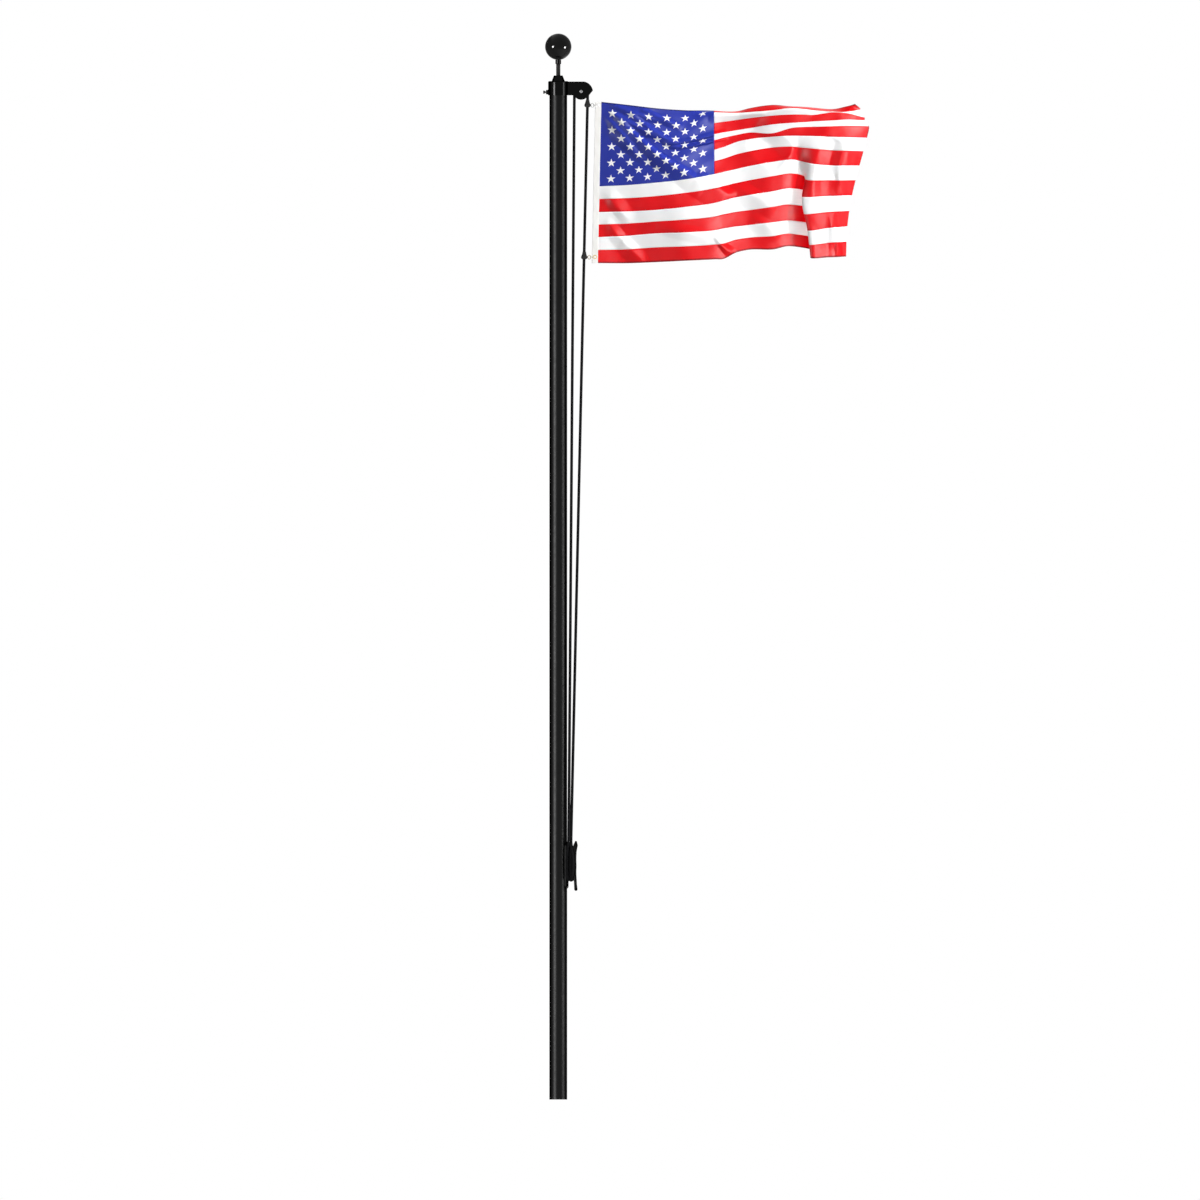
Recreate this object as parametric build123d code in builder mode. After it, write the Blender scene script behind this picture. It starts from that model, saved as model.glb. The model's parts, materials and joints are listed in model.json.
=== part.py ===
"""Flagpole with its flag hoisted: tube, truck and sheave, ball finial, halyard, cleat and flag.

Millimetres. The origin is the centre of the foot on the ground, +Z is up, and +X points
along the truck's arm towards the flag.
"""
import os
from math import asin, atan2, cos, degrees, hypot, radians, sin, sqrt

from build123d import *

# Pole tube and foot plug
tube_diameter = 152.4
tube_wall = 4.8
tube_length = 8700.0
plug_thickness = 20.0

# Fits
seat_gap = 0.2
running_gap = 0.08
rope_gap = 0.35
cut_overrun = 5.0

# Truck casting: collar, cone and forked arm
collar_diameter = 174.0
socket_depth = 90.0
cap_thickness = 32.0
collar_round = 11.0
cone_bottom_diameter = 113.0
cone_top_diameter = 75.0
cone_height = 48.0
arm_top_drop = 4.0
arm_width = 62.0
nose_start_reach = 222.0
nose_bend_reach = 270.0
nose_bend_drop = 25.0
nose_tip_reach = 297.0
nose_tip_drop = 77.0
chin_reach = 264.0
cheek_radius = 71.0
arm_round = 6.0
slot_width = 38.0
slot_margin = 5.0
screw_boss_diameter = 46.0
screw_boss_reach = 88.5

# Sheave and its axle
axle_reach = 195.8
axle_rise = 33.0
axle_diameter = 16.0
pitch_radius = 57.2
sheave_rim_radius = 65.0
sheave_rim_depth = 24.0
sheave_width = 34.0
sheave_web = 16.0
sheave_hub_diameter = 40.0
bolt_head_diameter = 30.0
bolt_head_height = 10.0
bolt_head_round = 7.0
nut_across_flats = 26.0
nut_thickness = 13.0
bolt_end_length = 4.0

# Set screw that clamps the collar on the tube
set_screw_diameter = 14.0
set_screw_rise = 27.0
set_screw_head_diameter = 27.0
set_screw_head_length = 13.0
set_screw_reach = 129.0
lock_nut_across_flats = 38.0
lock_nut_thickness = 17.0

# Ball finial
spindle_diameter = 38.0
spindle_exposed = 95.7
spindle_engagement = 38.0
spindle_end_length = 14.0
neck_diameter = 49.0
neck_height = 40.0
neck_round = 8.0
ball_diameter = 227.0
ball_wall = 3.0

# Cleat
cleat_azimuth = -28.0
cleat_height = 2003.0
cleat_length = 428.0
horn_diameter = 25.0
horn_reach = 161.0
horn_tip_reach = 171.0
lower_tip_diameter = 28.0
horn_swell_diameter = 38.0
upper_tip_diameter = 20.0
cleat_web_thickness = 26.0
cleat_web_length = 256.0
cleat_web_rise = 25.0
cleat_web_flare = 14.0
flange_length = 386.0
flange_width = 46.0
flange_thickness = 12.0
cleat_screw_diameter = 9.0
cleat_screw_head_diameter = 18.0
cleat_screw_head_height = 5.0
cleat_screw_inset = 33.0

# Halyard
rope_diameter = 23.6
runs_reach = 106.5
runs_half_spacing = 29.0

# Rope stoppers, snap hooks and grommets
stopper_diameter = 55.0
stopper_length = 66.0
stopper_rise = 13.0
stopper_top_diameter = 29.0
stopper_foot_diameter = 33.0
stopper_belly_share = 0.394
upper_grommet_inset = 25.0
lower_grommet_inset = 52.0
lug_reach = 40.0
lug_radius = 11.0
lug_hole_diameter = 13.0
lug_thickness = 10.0
hook_wire_diameter = 7.0
hook_width = 24.0
grommet_hole_diameter = 20.0
grommet_barrel_wall = 2.0
grommet_flange_diameter = 36.0
grommet_flange_thickness = 1.5

# Flag
flag_offset = 66.0
heading_width = 52.0
flag_hang = 58.0
flag_hoist = 1380.0
flag_spread = 2263.0
cloth_thickness = 6.0
wave_depth = 100.0
seam_gap = 0.4
stripe_count = 13
canton_stripes = 7

# Shape of the flying cloth. Each station is an upright slice, and its three rows hold, at the rails,
# shares of the spread from the hoist, of the hoist downwards, and of the wave depth backwards.
rail_shares = (0, 1 / 13, 3 / 13, 7 / 13, 1)
station_shares = [
    ((0, 0, 0, 0, 0), (0, 0.077, 0.231, 0.530, 1.000), (0, 0, 0, 0, 0)),
    ((0.109, 0.109, 0.109, 0.109, 0.110), (0.020, 0.091, 0.233, 0.517, 1.002), (-0.10, -0.20, -0.25, -0.25, 0.10)),
    ((0.215, 0.215, 0.215, 0.215, 0.216), (0.041, 0.107, 0.238, 0.502, 0.996), (0.00, -0.10, -0.30, -0.50, -0.20)),
    ((0.324, 0.324, 0.324, 0.325, 0.326), (0.053, 0.110, 0.230, 0.482, 0.988), (0.30, 0.10, -0.15, -0.55, -0.70)),
    ((0.427, 0.428, 0.430, 0.434, 0.441), (0.055, 0.065, 0.201, 0.449, 0.978), (1.00, 0.30, 0.15, -0.25, -0.70)),
    ((0.470, 0.471, 0.473, 0.475, 0.480), (0.061, 0.067, 0.189, 0.434, 0.974), (1.10, 0.40, 0.25, -0.15, -0.60)),
    ((0.516, 0.516, 0.517, 0.519, 0.521), (0.058, 0.068, 0.176, 0.417, 0.938), (1.00, 0.40, 0.25, -0.10, -0.50)),
    ((0.556, 0.557, 0.558, 0.561, 0.565), (0.042, 0.065, 0.166, 0.402, 0.920), (0.70, 0.20, 0.10, -0.15, -0.40)),
    ((0.650, 0.651, 0.653, 0.657, 0.663), (0.020, 0.052, 0.140, 0.373, 0.917), (0.30, -0.30, -0.30, -0.40, -0.40)),
    ((0.715, 0.717, 0.720, 0.726, 0.735), (0.028, 0.040, 0.131, 0.359, 0.898), (0.30, -0.50, -0.45, -0.30, 0.00)),
    ((0.772, 0.772, 0.769, 0.773, 0.834), (0.032, 0.045, 0.127, 0.368, 0.933), (0.40, -0.50, -0.35, 0.25, 1.30)),
    ((0.798, 0.798, 0.797, 0.767, 0.805), (0.036, 0.051, 0.122, 0.383, 0.967), (0.50, -0.40, -0.35, -0.40, -0.60)),
    ((0.865, 0.866, 0.867, 0.870, 0.875), (0.047, 0.065, 0.119, 0.394, 0.966), (0.40, -0.40, -0.50, -0.75, -1.00)),
    ((0.927, 0.930, 0.938, 0.934, 0.910), (0.029, 0.057, 0.115, 0.396, 0.964), (0.00, -0.40, -0.45, -0.60, -0.80)),
    ((0.963, 0.984, 1.000, 0.985, 0.940), (0.014, 0.047, 0.114, 0.396, 0.961), (-0.30, -0.10, -0.10, -0.15, -0.30)),
]
canton_spread_share = 0.427

os.makedirs("parts", exist_ok=True)

# Places that follow from the sizes
tube_radius = tube_diameter / 2
rope_radius = rope_diameter / 2
collar_bottom = tube_length - socket_depth
collar_top = tube_length + cap_thickness
cone_top = collar_top + cone_height
flag_top_height = collar_bottom - flag_hang
flag_bottom_height = flag_top_height - flag_hoist
upper_stopper_height = flag_top_height - upper_grommet_inset
lower_stopper_height = flag_bottom_height + lower_grommet_inset
canton_station = [spreads[0] for spreads, drops, depths in station_shares].index(canton_spread_share)
arm_top = collar_top - arm_top_drop
axle_height = collar_bottom + axle_rise
axle_point = Vector(axle_reach, 0, axle_height)
axle_axis = Axis(axle_point, (0, 1, 0))
neck_bottom = cone_top + spindle_exposed
neck_top = neck_bottom + neck_height
ball_radius = ball_diameter / 2
ball_centre = neck_top + sqrt(ball_radius**2 - (neck_diameter / 2) ** 2)

cleat_out = Vector(cos(radians(cleat_azimuth)), sin(radians(cleat_azimuth)), 0)
cleat_side = Vector(-sin(radians(cleat_azimuth)), cos(radians(cleat_azimuth)), 0)
cleat_centre = Vector(0, 0, cleat_height)
cleat_profile_plane = Plane(cleat_centre, x_dir=cleat_out, z_dir=-cleat_side)
cleat_face_plane = Plane(cleat_centre, x_dir=cleat_side, z_dir=cleat_out)
flange_face = tube_radius + flange_thickness
cleat_screw_spacing = cleat_length - 2 * cleat_screw_inset

# The runs of the halyard go straight from the sheave to both sides of the cleat's web
turn_height = cleat_height + cleat_web_rise - cleat_web_length / 2
turn_centre = Vector(0, 0, turn_height) + cleat_out * runs_reach
inner_foot = turn_centre - cleat_side * runs_half_spacing
outer_foot = turn_centre + cleat_side * runs_half_spacing


def run_top(foot, side):
    """Point where a run leaves the sheave, tangent to the pitch circle seen from the front."""
    to_foot = foot - axle_point
    span = hypot(to_foot.X, to_foot.Z)
    bearing = atan2(to_foot.Z, to_foot.X) + side * (radians(90) - asin(pitch_radius / span))
    reach = Vector(cos(bearing), 0, sin(bearing)) * pitch_radius
    return axle_point + reach


inner_top = run_top(inner_foot, -1)
outer_top = run_top(outer_foot, 1)
outer_direction = (outer_top - outer_foot).normalized()


def rope_point(height):
    """Point on the centre line of the halyard's outer run at a height above the ground."""
    share = (height - outer_foot.Z) / (outer_top.Z - outer_foot.Z)
    return outer_foot + (outer_top - outer_foot) * share


hoist_lean = outer_direction.X / outer_direction.Z

# Pole tube, with holes for the cleat's screws
with BuildPart() as pole_tube:
    with BuildSketch():
        Circle(tube_radius)
        Circle(tube_radius - tube_wall, mode=Mode.SUBTRACT)
    extrude(amount=tube_length)
    with BuildSketch(cleat_face_plane):
        with Locations((0, cleat_screw_spacing / 2), (0, -cleat_screw_spacing / 2)):
            Circle(cleat_screw_diameter / 2 + seat_gap)
    extrude(amount=flange_face, mode=Mode.SUBTRACT)

# Plug that closes the foot, flush with the end of the tube
with BuildPart() as foot_plug:
    with BuildSketch():
        Circle(tube_radius - tube_wall - seat_gap)
    extrude(amount=plug_thickness)

# Truck casting: a socket collar with a cone on top and an arm forked round the sheave
with BuildPart() as arm:
    with BuildSketch(Plane.XZ):
        with BuildLine():
            nose_tip = (nose_tip_reach, arm_top - nose_tip_drop)
            Polyline((0, collar_bottom), (0, arm_top), (nose_start_reach, arm_top))
            ThreePointArc(
                (nose_start_reach, arm_top),
                (nose_bend_reach, arm_top - nose_bend_drop),
                nose_tip,
            )
            Polyline(nose_tip, (chin_reach, collar_bottom), (0, collar_bottom))
        make_face()
        with Locations((axle_reach, axle_height)):
            Circle(cheek_radius)
    extrude(amount=arm_width / 2, both=True)
    side_faces = arm.faces().filter_by(Axis.Y).sort_by(Axis.Y)
    fillet(side_faces[0].edges() + side_faces[-1].edges(), arm_round)

with BuildPart() as truck:
    with BuildSketch(Plane.XZ):
        with BuildLine():
            Polyline(
                (0, collar_bottom),
                (collar_diameter / 2, collar_bottom),
                (collar_diameter / 2, collar_top),
                (cone_bottom_diameter / 2, collar_top),
                (cone_top_diameter / 2, cone_top),
                (0, cone_top),
                close=True,
            )
        make_face()
    revolve(axis=Axis.Z)
    shoulder = truck.edges().filter_by(GeomType.CIRCLE).group_by(Axis.Z)[-2].sort_by(SortBy.RADIUS)[-1]
    fillet(shoulder, collar_round)
    add(arm.part)
    with BuildSketch(Plane((0, 0, collar_bottom + set_screw_rise), x_dir=(0, 1, 0), z_dir=(-1, 0, 0))):
        Circle(screw_boss_diameter / 2)
    extrude(amount=screw_boss_reach)
    with BuildSketch(Plane.XZ):
        slot_radius = pitch_radius + rope_radius + slot_margin
        with Locations((axle_reach, axle_height)):
            Circle(slot_radius)
            Rectangle(2 * slot_radius, cheek_radius + cut_overrun, align=(Align.CENTER, Align.MAX))
    extrude(amount=slot_width / 2, both=True, mode=Mode.SUBTRACT)
    with BuildSketch(Plane.XY.offset(collar_bottom - cut_overrun)):
        Circle(tube_radius + seat_gap)
    extrude(amount=socket_depth + cut_overrun, mode=Mode.SUBTRACT)
    with BuildSketch(Plane.XY.offset(cone_top - spindle_engagement)):
        Circle(spindle_diameter / 2 + seat_gap)
    extrude(amount=spindle_engagement + cut_overrun, mode=Mode.SUBTRACT)
    with BuildSketch(Plane((0, 0, collar_bottom + set_screw_rise), x_dir=(0, 1, 0), z_dir=(-1, 0, 0))):
        Circle(set_screw_diameter / 2 + seat_gap)
    extrude(amount=screw_boss_reach + cut_overrun, mode=Mode.SUBTRACT)
    with BuildSketch(Plane.XZ):
        with Locations((axle_reach, axle_height)):
            Circle(axle_diameter / 2 + running_gap)
    extrude(amount=arm_width, both=True, mode=Mode.SUBTRACT)

# Grooved sheave, turned about the axle
with BuildPart() as sheave:
    with BuildSketch(Plane(axle_point)):
        rim_bottom = sheave_rim_radius - sheave_rim_depth
        hub_width = slot_width - 2 * rope_gap
        with Locations((rim_bottom, 0)):
            Rectangle(sheave_rim_depth, sheave_width, align=(Align.MIN, Align.CENTER))
        Rectangle(rim_bottom, sheave_web, align=(Align.MIN, Align.CENTER))
        Rectangle(sheave_hub_diameter / 2, hub_width, align=(Align.MIN, Align.CENTER))
        with Locations((pitch_radius, 0)):
            Circle(rope_radius + rope_gap, mode=Mode.SUBTRACT)
            Rectangle(
                sheave_rim_depth,
                2 * (rope_radius + rope_gap),
                align=(Align.MIN, Align.CENTER),
                mode=Mode.SUBTRACT,
            )
        Rectangle(
            axle_diameter / 2 + running_gap,
            hub_width,
            align=(Align.MIN, Align.CENTER),
            mode=Mode.SUBTRACT,
        )
    revolve(axis=axle_axis)

# Axle bolt with a domed head at the front, and its nut at the back
with BuildPart() as axle_bolt:
    with BuildSketch(Plane.XZ.offset(arm_width / 2)):
        with Locations((axle_reach, axle_height)):
            Circle(bolt_head_diameter / 2)
    extrude(amount=bolt_head_height)
    fillet(axle_bolt.edges().group_by(Axis.Y)[0], bolt_head_round)
    with BuildSketch(Plane.XZ.offset(arm_width / 2)):
        with Locations((axle_reach, axle_height)):
            Circle(axle_diameter / 2)
    extrude(amount=-arm_width - nut_thickness - bolt_end_length)

with BuildPart() as axle_nut:
    with BuildSketch(Plane.XZ.offset(-arm_width / 2)):
        with Locations((axle_reach, axle_height)):
            RegularPolygon(nut_across_flats / 2, side_count=6, major_radius=False)
            Circle(axle_diameter / 2 + running_gap, mode=Mode.SUBTRACT)
    extrude(amount=-nut_thickness)

# Set screw through the collar, and the lock nut that holds it
set_screw_plane = Plane((0, 0, collar_bottom + set_screw_rise), x_dir=(0, 1, 0), z_dir=(-1, 0, 0))
with BuildPart() as set_screw:
    with BuildSketch(set_screw_plane.offset(tube_radius + seat_gap)):
        Circle(set_screw_diameter / 2)
    extrude(amount=set_screw_reach - tube_radius - seat_gap)
    with BuildSketch(set_screw_plane.offset(set_screw_reach - set_screw_head_length)):
        Circle(set_screw_head_diameter / 2)
    extrude(amount=set_screw_head_length)

with BuildPart() as set_screw_nut:
    with BuildSketch(set_screw_plane.offset(screw_boss_reach)):
        RegularPolygon(lock_nut_across_flats / 2, side_count=6, major_radius=False)
        Circle(set_screw_diameter / 2 + seat_gap, mode=Mode.SUBTRACT)
    extrude(amount=lock_nut_thickness)

# Finial: threaded spindle, neck nut and hollow spun ball
with BuildPart() as finial_spindle:
    with BuildSketch(Plane.XY.offset(cone_top - spindle_engagement)):
        Circle(spindle_diameter / 2)
    extrude(amount=spindle_engagement + spindle_exposed + neck_height + spindle_end_length)

with BuildPart() as finial_neck:
    with BuildSketch(Plane.XY.offset(neck_bottom)):
        Circle(neck_diameter / 2)
    extrude(amount=neck_height)
    fillet(finial_neck.edges().group_by(Axis.Z)[0], neck_round)
    with BuildSketch(Plane.XY.offset(neck_bottom)):
        Circle(spindle_diameter / 2 + seat_gap)
    extrude(amount=neck_height, mode=Mode.SUBTRACT)

with BuildPart() as finial_ball:
    with Locations((0, 0, ball_centre)):
        Sphere(ball_radius)
        Sphere(ball_radius - ball_wall, mode=Mode.SUBTRACT)
    with BuildSketch(Plane.XY.offset(neck_top)):
        Circle(neck_diameter / 2)
    extrude(amount=-ball_wall, mode=Mode.SUBTRACT)
    with BuildSketch(Plane.XY.offset(neck_top)):
        Circle(spindle_diameter / 2 + seat_gap)
    extrude(amount=ball_wall + cut_overrun, mode=Mode.SUBTRACT)

# Cleat: a flange curved to the tube, a web, and a bowed bar whose ends are the horns
with BuildPart() as cleat:
    with BuildSketch(cleat_face_plane):
        SlotOverall(flange_length, flange_width, rotation=90)
    extrude(amount=flange_face)
    with BuildSketch(cleat_profile_plane):
        web_top = cleat_web_rise + cleat_web_length / 2
        web_bottom = cleat_web_rise - cleat_web_length / 2
        flare_top, flare_bottom = web_top + cleat_web_flare, web_bottom - cleat_web_flare
        with BuildLine():
            web_middle = (flange_face + horn_reach) / 2
            Polyline((flange_face, flare_bottom), (0, flare_bottom), (0, flare_top), (flange_face, flare_top))
            ThreePointArc((flange_face, flare_top), (web_middle, web_top), (horn_reach, flare_top))
            Line((horn_reach, flare_top), (horn_reach, flare_bottom))
            ThreePointArc((horn_reach, flare_bottom), (web_middle, web_bottom), (flange_face, flare_bottom))
        make_face()
    extrude(amount=cleat_web_thickness / 2, both=True)
    lower_tip = (horn_tip_reach, lower_tip_diameter / 2 - cleat_length / 2)
    upper_tip = (horn_tip_reach, cleat_length / 2 - upper_tip_diameter / 2)
    horn_section_shares = [
        (0, lower_tip_diameter),
        (0.1, horn_diameter),
        (0.3, horn_diameter),
        (0.5, horn_diameter),
        (0.7, horn_diameter),
        (0.8, horn_diameter),
        (0.87, (horn_diameter + horn_swell_diameter) / 2),
        (0.94, horn_swell_diameter),
        (1, upper_tip_diameter),
    ]
    with BuildLine(cleat_profile_plane) as horn_line:
        ThreePointArc(lower_tip, (horn_reach, 0), upper_tip)
    for share, section_diameter in horn_section_shares:
        with BuildSketch(Plane(horn_line.line @ share, z_dir=horn_line.line % share)):
            Circle(section_diameter / 2)
    loft(ruled=True)
    with Locations(horn_line.line @ 0):
        Sphere(lower_tip_diameter / 2)
    with Locations(horn_line.line @ 1):
        Sphere(upper_tip_diameter / 2)
    with BuildSketch(Plane.XY.offset(cleat_height - cleat_length / 2)):
        Circle(tube_radius + seat_gap)
    extrude(amount=cleat_length, mode=Mode.SUBTRACT)
    with BuildSketch(cleat_face_plane):
        with Locations((0, cleat_screw_spacing / 2), (0, -cleat_screw_spacing / 2)):
            Circle(cleat_screw_diameter / 2 + seat_gap)
    extrude(amount=flange_face + cut_overrun, mode=Mode.SUBTRACT)

with BuildPart() as cleat_screws:
    for end in (-1, 1):
        place = (0, end * cleat_screw_spacing / 2)
        with BuildSketch(cleat_face_plane.offset(tube_radius - 2 * tube_wall)):
            with Locations(place):
                Circle(cleat_screw_diameter / 2)
        extrude(amount=flange_thickness + 2 * tube_wall)
        with BuildSketch(cleat_face_plane.offset(flange_face)):
            with Locations(place):
                Circle(cleat_screw_head_diameter / 2)
        extrude(amount=cleat_screw_head_height, taper=20)

# Halyard: the turn over the sheave, carried on as two straight runs down to the cleat
with BuildPart() as halyard:
    outer_bearing = outer_top - axle_point
    inner_bearing = inner_top - axle_point
    wrap = degrees(
        atan2(inner_bearing.Z, inner_bearing.X) - atan2(outer_bearing.Z, outer_bearing.X)
    ) % 360
    start = Plane(outer_top, x_dir=outer_bearing, z_dir=(outer_bearing.Z, 0, -outer_bearing.X))
    with BuildSketch(start):
        Circle(rope_radius)
    revolve(axis=Axis(axle_point, (0, -1, 0)), revolution_arc=wrap)
    ends = halyard.faces().filter_by(GeomType.PLANE).sort_by(Axis.X)
    for end_face, top, foot in ((ends[0], inner_top, inner_foot), (ends[-1], outer_top, outer_foot)):
        run = foot - top
        extrude(end_face, amount=run.length - 2 * rope_gap, dir=run.normalized())

# Turns on the cleat: the runs' turn under the lower horn, and a closed turn outside it
with BuildPart() as halyard_turns:
    with BuildSketch(Plane(turn_centre, x_dir=cleat_side)):
        with Locations((runs_half_spacing, 0)):
            Circle(rope_radius)
    revolve(axis=Axis(turn_centre, cleat_out), revolution_arc=-180)
    turn_radius = cleat_web_thickness / 2 + rope_radius + rope_gap
    outer_turn_reach = horn_reach - horn_diameter / 2 - rope_radius - rope_gap
    turn_top = flare_top - turn_radius + rope_radius + rope_gap
    turn_bottom = flare_bottom + turn_radius - rope_radius - rope_gap
    with BuildLine(cleat_face_plane.offset(outer_turn_reach)) as turn_line:
        Line((turn_radius, turn_bottom), (turn_radius, turn_top))
        ThreePointArc((turn_radius, turn_top), (0, turn_top + turn_radius), (-turn_radius, turn_top))
        Line((-turn_radius, turn_top), (-turn_radius, turn_bottom))
        ThreePointArc((-turn_radius, turn_bottom), (0, turn_bottom - turn_radius), (turn_radius, turn_bottom))
    with BuildSketch(Plane(turn_line.line @ 0, z_dir=turn_line.line % 0)):
        Circle(rope_radius)
    sweep(path=turn_line.wire())


def make_stopper(height):
    """Teardrop stopper on the outer run, widest near its foot, with a drilled lug at a height."""
    middle = rope_point(height + stopper_rise)
    lug_point = rope_point(height)
    line_plane = Plane(middle, x_dir=(0, -1, 0), z_dir=outer_direction)
    bore = rope_radius + rope_gap
    core = bore / 2
    with BuildPart() as body:
        with BuildSketch(Plane(middle, x_dir=(1, 0, -hoist_lean), z_dir=(0, -1, 0))):
            half = stopper_length / 2
            top = (stopper_top_diameter / 2, half)
            belly = (stopper_diameter / 2, -half * stopper_belly_share)
            foot = (stopper_foot_diameter / 2, -half)
            with BuildLine():
                Polyline(foot, (core, -half), (core, half), top)
                RadiusArc(top, belly, 2 * stopper_length)
                RadiusArc(belly, foot, stopper_length / 2)
            make_face()
        revolve(axis=Axis(middle, outer_direction))
        lug_plane = Plane((lug_point.X, 0, height), x_dir=(1, 0, 0), z_dir=(0, -1, 0))
        with BuildSketch(lug_plane):
            with Locations((lug_reach, 0)):
                Circle(lug_radius)
            Rectangle(lug_reach, 2 * lug_radius, align=(Align.MIN, Align.CENTER))
        extrude(amount=lug_thickness / 2, both=True)
        with BuildSketch(lug_plane):
            with Locations((lug_reach, 0)):
                Circle(lug_hole_diameter / 2)
        extrude(amount=lug_thickness, both=True, mode=Mode.SUBTRACT)
        with BuildSketch(line_plane.offset(-stopper_length)):
            Circle(bore)
        extrude(amount=2 * stopper_length, mode=Mode.SUBTRACT)
    return body


def grommet_point(height):
    """Centre of a grommet, in the middle of the heading at a height above the ground."""
    middle = rope_point(height)
    return Vector(middle.X + flag_offset + heading_width / 2, 0, height)


def make_grommet(height):
    """Flanged eyelet set in the heading."""
    centre = grommet_point(height)
    bore = grommet_hole_diameter / 2
    with BuildPart() as eyelet:
        with BuildSketch(Plane(centre)):
            with Locations((bore, 0)):
                Rectangle(
                    grommet_barrel_wall,
                    cloth_thickness + 2 * grommet_flange_thickness + 2 * seat_gap,
                    align=(Align.MIN, Align.CENTER),
                )
                for face in (-1, 1):
                    with Locations((0, face * (cloth_thickness / 2 + seat_gap))):
                        Rectangle(
                            grommet_flange_diameter / 2 - bore,
                            grommet_flange_thickness,
                            align=(Align.MIN, Align.MIN if face > 0 else Align.MAX),
                        )
        revolve(axis=Axis(centre, (0, 1, 0)))
    return eyelet


def make_snap_hook(height):
    """Long ring that joins a stopper's lug to a grommet, round the hoist edge of the heading."""
    middle = rope_point(height)
    wire_radius = hook_wire_diameter / 2
    bend = hook_width / 2

    def seat_depth(half_thickness):
        """From the end of the wire's centre line back to its inner side at a plate's face."""
        return bend - sqrt((bend - wire_radius) ** 2 - half_thickness**2) + rope_gap

    grommet_half = cloth_thickness / 2 + seat_gap + grommet_flange_thickness
    left = middle.X + lug_reach + lug_hole_diameter / 2 - seat_depth(lug_thickness / 2)
    right = grommet_point(height).X - grommet_hole_diameter / 2 + seat_depth(grommet_half)
    with BuildPart() as ring:
        with BuildLine(Plane((0, 0, height))) as ring_line:
            Line((left + bend, -bend), (right - bend, -bend))
            ThreePointArc((right - bend, -bend), (right, 0), (right - bend, bend))
            Line((right - bend, bend), (left + bend, bend))
            ThreePointArc((left + bend, bend), (left, 0), (left + bend, -bend))
        with BuildSketch(Plane(ring_line.line @ 0, z_dir=ring_line.line % 0)):
            Circle(wire_radius)
        sweep(path=ring_line.wire())
    return ring


upper_stopper = make_stopper(upper_stopper_height)
lower_stopper = make_stopper(lower_stopper_height)
upper_grommet = make_grommet(upper_stopper_height)
lower_grommet = make_grommet(lower_stopper_height)
upper_snap_hook = make_snap_hook(upper_stopper_height)
lower_snap_hook = make_snap_hook(lower_stopper_height)

# Heading: the canvas strip along the hoist, slanted with the rope
top_rope = rope_point(flag_top_height)
bottom_rope = rope_point(flag_bottom_height)
with BuildPart() as flag_heading:
    with BuildSketch(Plane.XZ):
        with BuildLine():
            Polyline(
                (top_rope.X + flag_offset, flag_top_height),
                (top_rope.X + flag_offset + heading_width, flag_top_height),
                (bottom_rope.X + flag_offset + heading_width, flag_bottom_height),
                (bottom_rope.X + flag_offset, flag_bottom_height),
                close=True,
            )
        make_face()
        for height in (upper_stopper_height, lower_stopper_height):
            with Locations((grommet_point(height).X, height)):
                Circle(grommet_hole_diameter / 2 + grommet_barrel_wall + seat_gap, mode=Mode.SUBTRACT)
    extrude(amount=cloth_thickness / 2, both=True)


def rail_value(row, share):
    """Value of a station's row at a share of the cloth's height, straight between its rails."""
    step = max(i for i in range(len(rail_shares) - 1) if rail_shares[i] <= share)
    low, high = rail_shares[step], rail_shares[step + 1]
    return row[step] + (row[step + 1] - row[step]) * (share - low) / (high - low)


def cloth_point(index, share):
    """Middle of the cloth at one station, at a share of its height."""
    spread_share, drop_share, depth_share = (rail_value(row, share) for row in station_shares[index])
    drop = drop_share * flag_hoist
    seam = top_rope.X + flag_offset + heading_width - hoist_lean * drop
    return Vector(seam + spread_share * flag_spread, depth_share * wave_depth, flag_top_height - drop)


def cloth_slice(index, top_share, bottom_share):
    """Upright slice through the flying cloth at one station, between two shares of its height."""
    middle_share = (top_share + bottom_share) / 2
    before = cloth_point(max(index - 1, 0), middle_share)
    after = cloth_point(min(index + 1, len(station_shares) - 1), middle_share)
    along = Vector(after.X - before.X, after.Y - before.Y)
    across = Vector(0, 1, 0) if index == 0 else along.normalized().rotate(Axis.Z, 90)
    half = across * (cloth_thickness / 2)
    gap = Vector(0, 0, seam_gap / 2)
    top = cloth_point(index, top_share) - gap
    bottom = cloth_point(index, bottom_share) + gap
    with BuildLine() as outline:
        Polyline(top + half, bottom + half, bottom - half, top - half, close=True)
    return Face(outline.wire())


def sew_strip(first, last, top_share, bottom_share):
    """Loft one strip of cloth through its stations, in the open builder."""
    loft([cloth_slice(index, top_share, bottom_share) for index in range(first, last + 1)], ruled=True)


def sew_stripes(first_stripe):
    """Every other stripe of the flag, the upper ones from the canton's edge."""
    for stripe in range(first_stripe, stripe_count, 2):
        start_station = canton_station if stripe < canton_stripes else 0
        sew_strip(start_station, len(station_shares) - 1, stripe / stripe_count, (stripe + 1) / stripe_count)


canton_bottom = canton_stripes / stripe_count
canton_rails = [share for share in rail_shares if share < canton_bottom] + [canton_bottom]
with BuildPart() as flag_canton:
    for top_share, bottom_share in zip(canton_rails, canton_rails[1:]):
        sew_strip(0, canton_station, top_share, bottom_share)

with BuildPart() as flag_red_stripes:
    sew_stripes(0)

with BuildPart() as flag_white_stripes:
    sew_stripes(1)

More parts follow.
